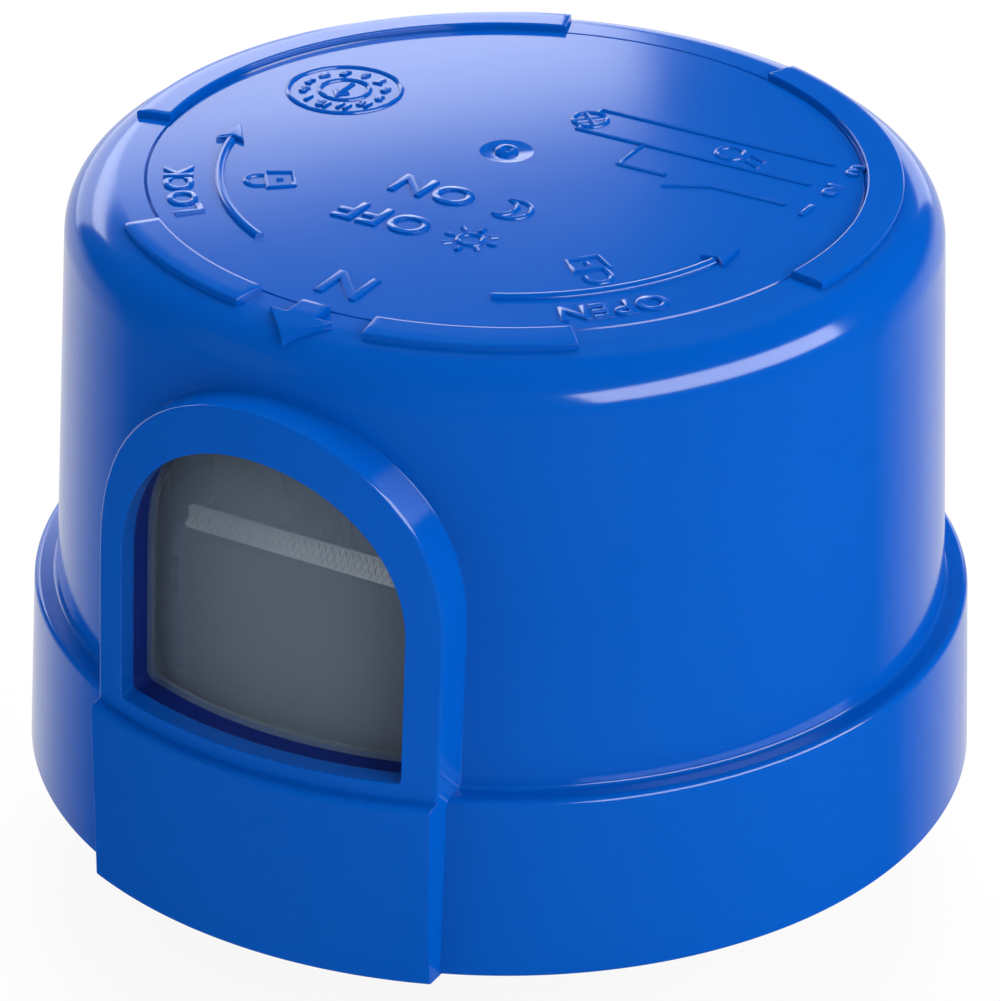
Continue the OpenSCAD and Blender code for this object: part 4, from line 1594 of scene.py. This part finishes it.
@dataclass
class Relay:
    """The relay behind the lens, with a knurled band along its front edge whose near-white colour
    is painted sheen of the relay's lit top edge.
    """

    low: Vector
    high: Vector
    board_top: float = 13.6
    edge: float = 0.8
    seam_out: float = 0.16
    seam_h: float = 0.7
    seam_z: float = 2.6
    seam_edge: float = 0.2
    lead_r: float = 0.35
    lead_in: float = 3.0
    lead_row: float = 8.0
    lead_up: float = 1.0
    band_w: float = 2.1
    band_t: float = 0.7
    band_h: float = 0.5
    band_edge: float = 0.15
    band_sink: float = 0.25
    band_lean: float = 24.0
    ribs: int = 40
    rib_w_share: float = 0.4
    rib_h_share: float = 0.86
    rib_t: float = 0.3
    rib_edge: float = 0.1
    rib_slant: float = 24.0
    rib_over: float = 0.03
    pins: tuple[tuple[float, float, float, float], ...] = (
        (2.1, -28.0, 0.16, 5.0),
        (1.1, -28.0, 0.38, 4.2),
    )
    pin_steps: int = 6

    def case(self) -> BMesh:
        """Make the case with its seam and its four leads.

        Returns:
            The case.
        """
        middle = (self.low + self.high) / 2.0
        size = self.high - self.low
        tall = self.high.z - self.band_h - self.board_top
        body_z = self.board_top + tall / 2.0
        body = block((size.x, size.y, tall), (middle.x, middle.y, body_z), self.edge)
        seam = block(
            (size.x + self.seam_out, size.y + self.seam_out, self.seam_h),
            (middle.x, middle.y, self.board_top + self.seam_z),
            self.seam_edge,
            2,
        )
        parts = [body, seam]
        for side in SIDES:
            for row in SIDES:
                lead = rod(self.lead_r, self.low.z, self.board_top + self.lead_up)
                x = middle.x + side * (size.x / 2.0 - self.lead_in)
                parts.append(moved(lead, x, middle.y + row * self.lead_row / 2.0, 0.0))
        return gather(parts)

    def band(self) -> BMesh:
        """Stand the knurled band, near white for a painted sheen, along the top's front edge,
        leaning back a little.

        Returns:
            The band.
        """
        length = self.high.x - self.low.x - 2.0 * self.edge
        half_w = self.band_w / 2.0
        strip = block((length, self.band_t, self.band_w), (0.0, 0.0, half_w), self.band_edge)
        parts = [strip]
        pitch = length / self.ribs
        rib_size = (pitch * self.rib_w_share, self.rib_t, self.band_w * self.rib_h_share)
        for i in range(self.ribs):
            x = pitch * (i + 0.5) - length / 2.0
            for slant, proud in ((-self.rib_slant, 0.0), (self.rib_slant, self.rib_over)):
                rib = placed(block(rib_size, ORIGIN, self.rib_edge, 2), rotation("Y", slant))
                parts.append(moved(rib, x, -self.band_t / 2.0 - proud, half_w))
        middle = (self.low.x + self.high.x) / 2.0
        foot = self.high.z - self.band_h - self.band_sink
        band = placed(gather(parts), rotation("X", -self.band_lean))
        return moved(band, middle, self.low.y + self.edge, foot)

    def upright_pins(self) -> BMesh:
        """Lathe the thin pins that stand on the top beside the cell.

        Returns:
            The pins.
        """
        foot = self.high.z - self.band_h - self.edge
        parts = []
        for x, y, radius, tall in self.pins:
            tip = arc((0.0, self.high.z + tall), radius, 0.0, 90.0, self.pin_steps)
            pin = lathed([(0.0, foot), (radius, foot), *tip], WIRE_TURNS)
            parts.append(moved(pin, x, y, 0.0))
        return gather(parts)

    def build(self) -> list[bpy.types.Object]:
        """Make the relay, its band and its pins.

        Returns:
            The pieces.
        """
        return [
            piece_of(self.case(), "relay_case", RELAY_GREY, ["relay"]),
            # The band's near-white colour paints the sheen of the relay's lit top edge.
            piece_of(self.band(), "relay_band", SHEEN_BAND),
            piece_of(self.upright_pins(), "relay_pins", TINNED),
        ]


@dataclass
class LightCell:
    """The photocell in its tilted holder over the relay."""

    relay_top: float
    relay_front: float
    relay_back: float
    x: float = -4.5
    radius: float = 5.5
    thick: float = 2.2
    disc_edge: float = 0.5
    edge_steps: int = 5
    face_sink: float = 0.12
    face_shares: Flat = (0.82, 0.86)
    tilt: float = 40.0
    wall: float = 1.0
    fit: float = 0.1
    depth: float = 4.0
    foot: float = 1.2
    bore_edge: float = 0.15
    ring_edge: float = 0.25
    post_edge: float = 0.3
    post_w_share: float = 0.28
    post_x_share: float = 0.34
    post_top_share: float = 0.62
    pitch: float = 3.4
    lead_r: float = 0.35
    lead_low: float = 10.8
    lead_gap: float = 0.7
    lead_in: float = 0.4
    tracks: int = 7
    track_share: float = 0.74
    track_w_share: float = 0.42
    track_t: float = 0.16
    track_y: float = 0.06
    track_edge: float = 0.05
    track_least: float = 0.2

    @property
    def lead_y(self) -> float:
        """Give the place of the leads behind the relay."""
        return self.relay_back + self.lead_gap + self.lead_r

    @property
    def holder_r(self) -> float:
        """Give the holder's outer radius."""
        return self.radius + self.fit + self.wall

    @property
    def place(self) -> Matrix:
        """Give the move from the cell's own frame, where it looks along -Y, to its place.

        Returns:
            The move.
        """
        up, back = polar(self.holder_r, self.tilt)
        rise = self.foot + up + polar(self.depth, self.tilt)[1]
        spot = Vector((self.x, self.relay_front + self.depth + back, self.relay_top + rise))
        return Matrix.Translation(spot) @ rotation("X", -self.tilt)

    @property
    def along(self) -> Matrix:
        """Give the turn that lays a lathed form's axis along +Y."""
        return rotation("X", -90.0)

    def disc(self) -> BMesh:
        """Lathe the cell's disc and run its two leads down to the board.

        Returns:
            The disc and leads.
        """
        edge = self.disc_edge
        inner, outer = (self.radius * share for share in self.face_shares)
        side = self.radius - edge
        disc = lathed(
            [
                (0.0, self.face_sink),
                (inner, self.face_sink),
                (outer, 0.0),
                *arc((side, edge), edge, -90.0, 0.0, self.edge_steps),
                *arc((side, self.thick - edge), edge, 0.0, 90.0, self.edge_steps),
                (0.0, self.thick),
            ],
            ROUND_TURNS,
        )
        parts = [placed(disc, self.place @ self.along)]
        centre = self.place.translation
        run = (self.lead_y - centre.y) / math.cos(math.radians(self.tilt))
        bend_z = centre.z - run * math.sin(math.radians(self.tilt))
        for off in (side * self.pitch / 2.0 for side in SIDES):
            level = rod(self.lead_r, self.thick - self.lead_in, run + self.lead_r)
            parts.append(placed(moved(placed(level, self.along), off, 0.0, 0.0), self.place))
            drop = rod(self.lead_r, self.lead_low, bend_z + self.lead_r)
            parts.append(moved(drop, self.x + off, self.lead_y, 0.0))
        return gather(parts)

    def track(self) -> BMesh:
        """Lay the cell's folded track on its face.

        Returns:
            The track.
        """
        inner = self.radius * self.track_share
        pitch = 2.0 * inner / self.tracks
        parts = []
        for i in range(self.tracks):
            height = -inner + pitch * (i + 0.5)
            reach = math.sqrt(max(inner**2 - height**2, self.track_least))
            size = (2.0 * reach, self.track_t, pitch * self.track_w_share)
            parts.append(block(size, (0.0, self.track_y, height), self.track_edge, 2))
        return placed(gather(parts), self.place)

    def holder(self) -> BMesh:
        """Lathe the holder's ring and stand it on its two-sided leg.

        Returns:
            The holder.
        """
        bore, outer, edge = self.radius + self.fit, self.holder_r, self.ring_edge
        section = [
            (bore, self.bore_edge),
            (bore + self.bore_edge, 0.0),
            (outer - edge, 0.0),
            (outer, edge),
            (outer, self.depth - edge),
            (outer - edge, self.depth),
            (bore, self.depth),
        ]
        ring = lathed(section, ROUND_TURNS, closed=True)
        parts = [placed(ring, self.place @ self.along)]
        centre = self.place.translation
        tall = centre.z - self.relay_top - self.radius * self.post_top_share
        deep = 2.0 * outer * math.sin(math.radians(self.tilt))
        for side in SIDES:
            x = self.x + side * outer * self.post_x_share
            spot = (x, centre.y, self.relay_top + tall / 2.0)
            parts.append(block((outer * self.post_w_share, deep, tall), spot, self.post_edge))
        return gather(parts)

    def build(self) -> list[bpy.types.Object]:
        """Make the cell, its track and its holder.

        Returns:
            The pieces.
        """
        return [
            piece_of(self.disc(), "cell_disc", CELL_FACE, ["photocell"]),
            piece_of(self.track(), "cell_track", CELL_TRACK),
            piece_of(self.holder(), "cell_cradle", BLACK, ["cell_holder"]),
        ]


@dataclass
class Fittings:
    """The CAD nodes whose shapes stay, under the finish that dresses them."""

    finishes: tuple[tuple[Finish, tuple[str, ...]], ...] = (
        (BLACK, ("base",)),
        (FOAM, ("gasket",)),
        (BRASS, ("line_blade", "load_blade", "neutral_blade")),
        (STEEL, ("cover_screws", "board_screws")),
        (LAMINATE, ("circuit_board",)),
        (ARRESTER, ("surge_arrester",)),
        (FILM_CASE, ("film_capacitor",)),
        (
            CAN_SLEEVE,
            ("smoothing_capacitor", "rectifier_diodes", "control_chip", "driver_transistor"),
        ),
        (CEMENT, ("dropper_resistor",)),
        (LACQUER, ("signal_resistors",)),
    )

    def dress(self) -> list[bpy.types.Object]:
        """Give each node its finish.

        Returns:
            The nodes' objects.
        """
        dressed = []
        for finish, names in self.finishes:
            for node in (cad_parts[name] for name in names):
                node.data.materials.clear()
                node.data.materials.append(finish.material())
                dressed.append(node)
        return dressed


@dataclass(frozen=True)
class Softbox:
    """A rectangular studio lamp that looks at the part, in metres."""

    name: str
    azimuth: float
    elevation: float
    distance: float
    size: Flat
    radiance: float
    in_gloss: bool = True

    def build(self, target: Vector) -> bpy.types.Object:
        """Hang the lamp.

        Args:
            target: Point that it looks at.

        Returns:
            The lamp.
        """
        away = away_at(self.azimuth, self.elevation)
        light = bpy.data.lights.new(self.name, "AREA")
        light.shape = "RECTANGLE"
        light.size, light.size_y = self.size
        light.energy = self.radiance * math.pi * self.size[0] * self.size[1]
        lamp = linked(self.name, light)
        aim = away.to_track_quat("Z", "Y").to_matrix().to_4x4()
        lamp.matrix_world = Matrix.Translation(target + away * self.distance) @ aim
        lamp.visible_camera = False
        lamp.visible_glossy = self.in_gloss
        return lamp


@dataclass
class Studio:
    """Floor, light and camera of the photograph's view."""

    azimuth: float = 29.45
    elevation: float = 28.54
    roll: float = 0.632
    distance: float = 430.95
    target: tuple[float, float, float] = (-0.146, -0.083, 22.003)
    lens: float = 176.28
    sensor: float = 36.0
    clip: float = 0.01
    floor_half: float = 3.0
    floor_grey: float = 0.8
    floor_white: float = 0.9
    fill: float = 0.33
    gloss_dark: float = 0.01
    gloss_from: float = 0.31
    gloss_to: float = 0.74
    gloss_top: float = 0.06
    gloss_full: float = -0.12
    lamps: tuple[Softbox, ...] = (
        Softbox("side_softbox", 86.0, 27.0, 0.6, (0.8, 0.23), 7.4),
        Softbox("back_strip", -130.5, 23.5, 0.55, (0.42, 0.085), 3.5),
        Softbox("rear_strip", -164.0, 8.0, 0.6, (0.4, 0.2), 1.5),
        Softbox("left_low_panel", -130.0, 9.0, 0.55, (0.42, 0.18), 1.5),
        Softbox("left_fill", -42.0, 22.0, 0.9, (0.5, 0.5), 3.0, in_gloss=False),
        Softbox("right_fill", 25.0, 22.0, 0.9, (0.5, 0.5), 0.8, in_gloss=False),
        Softbox("left_rear_fill", -125.0, 15.0, 0.7, (0.5, 0.4), 3.4, in_gloss=False),
        Softbox("rear_fill", -155.0, 50.0, 0.8, (0.6, 0.6), 5.4, in_gloss=False),
    )

    def camera(self) -> None:
        """Set up the camera where the photograph was taken from."""
        data = bpy.data.cameras.new("view")
        data.sensor_fit = "HORIZONTAL"
        data.sensor_width = self.sensor
        data.lens = self.lens
        data.clip_start = self.clip
        back = away_at(self.azimuth, self.elevation)
        right = away_at(self.azimuth + 90.0, 0.0)
        upward = back.cross(right)
        lean = Matrix.Rotation(math.radians(self.roll), 3, back)
        axes = Matrix((lean @ right, lean @ upward, back)).transposed().to_4x4()
        spot = (Vector(self.target) + back * self.distance) * MM
        camera = linked("view", data)
        camera.matrix_world = Matrix.Translation(spot) @ axes
        bpy.context.scene.camera = camera

    def seen_by_eye(self, nodes: Nodes) -> tuple[bpy.types.NodeSocket, bpy.types.NodeSocket]:
        """Read what kind of ray meets a surface.

        Args:
            nodes: Tree that takes the nodes.

        Returns:
            One for a ray of the camera's or through glass, and one for a ray of gloss.
        """
        path = nodes.add("ShaderNodeLightPath").outputs
        seen = nodes.maths("MAXIMUM", path["Is Camera Ray"], path["Is Transmission Ray"])
        return seen, path["Is Glossy Ray"]

    def floor(self, height: float) -> None:
        """Lay a plain white floor that keeps a soft shadow.

        Args:
            height: Height of the floor, in metres.
        """
        bm = bmesh.new()
        bmesh.ops.create_grid(bm, x_segments=1, y_segments=1, size=self.floor_half)
        mesh = mesh_of(moved(bm, 0.0, 0.0, height), "floor")
        paint = bpy.data.materials.new("floor_white")
        paint.use_nodes = True
        paint.node_tree.nodes.clear()
        nodes = Nodes(paint.node_tree)
        share = nodes.maths("MULTIPLY", self.seen_by_eye(nodes)[0], self.floor_white)
        grey = (self.floor_grey, self.floor_grey, self.floor_grey, 1.0)
        matt = nodes.add("ShaderNodeBsdfDiffuse", Color=grey).outputs[0]
        glow = nodes.add("ShaderNodeEmission").outputs[0]
        both = nodes.in_order(nodes.add("ShaderNodeMixShader"), share, matt, glow).outputs[0]
        nodes.add("ShaderNodeOutputMaterial", Surface=both)
        mesh.materials.append(paint)
        floor = linked("floor", mesh)
        floor.visible_glossy = False

    def world(self) -> None:
        """Make the surroundings: white to the eye, and a low white sweep behind in gloss."""
        world = bpy.data.worlds.new("studio")
        world.use_nodes = True
        world.node_tree.nodes.clear()
        nodes = Nodes(world.node_tree)
        seen, in_gloss = self.seen_by_eye(nodes)
        ray = nodes.add("ShaderNodeTexCoord").outputs["Generated"]
        facing = nodes.tree.nodes.new("ShaderNodeVectorMath")
        facing.operation = "DOT_PRODUCT"
        nodes.in_order(facing, ray, away_at(self.azimuth + 180.0, 0.0))
        behind = nodes.add(
            "ShaderNodeMapRange",
            Value=facing.outputs["Value"],
            From_Min=self.gloss_from,
            From_Max=self.gloss_to,
        )
        below = nodes.add(
            "ShaderNodeMapRange",
            Value=nodes.add("ShaderNodeSeparateXYZ", Vector=ray).outputs["Z"],
            From_Min=self.gloss_top,
            From_Max=self.gloss_full,
        )
        sweep = nodes.maths("MULTIPLY", behind.outputs["Result"], below.outputs["Result"])
        shade = nodes.maths("MAXIMUM", sweep, self.gloss_dark)
        level = nodes.mix(seen, nodes.mix(in_gloss, self.fill, shade), 1.0)
        light = nodes.add("ShaderNodeBackground", Strength=level)
        nodes.add("ShaderNodeOutputWorld", Surface=light.outputs[0])
        bpy.context.scene.world = world

    def build(self) -> None:
        """Set up the whole studio round the part."""
        self.camera()
        self.world()
        self.floor(CAD_BOX[0][2])
        for lamp in self.lamps:
            lamp.build(Vector(self.target) * MM)
        bpy.context.scene.view_settings.view_transform = "Standard"


def main() -> None:
    """Build the studio and every piece in order, and report each."""
    logging.basicConfig(level=logging.INFO, format="%(name)s: %(message)s")
    Studio().build()
    form = CoverForm()
    relay_low, relay_high = (Vector(corner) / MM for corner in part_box("relay"))
    pieces = [
        Cover(form).build(),
        TopSigns(form).build(),
        *WindowLens(form).build(),
        *Relay(relay_low, relay_high).build(),
        *LightCell(relay_high.z, relay_low.y, relay_high.y).build(),
        *Fittings().dress(),
    ]
    for piece in pieces:
        LOG.info("%s: %d faces", piece.name, len(piece.data.polygons))


if __name__ == "__main__":
    main()
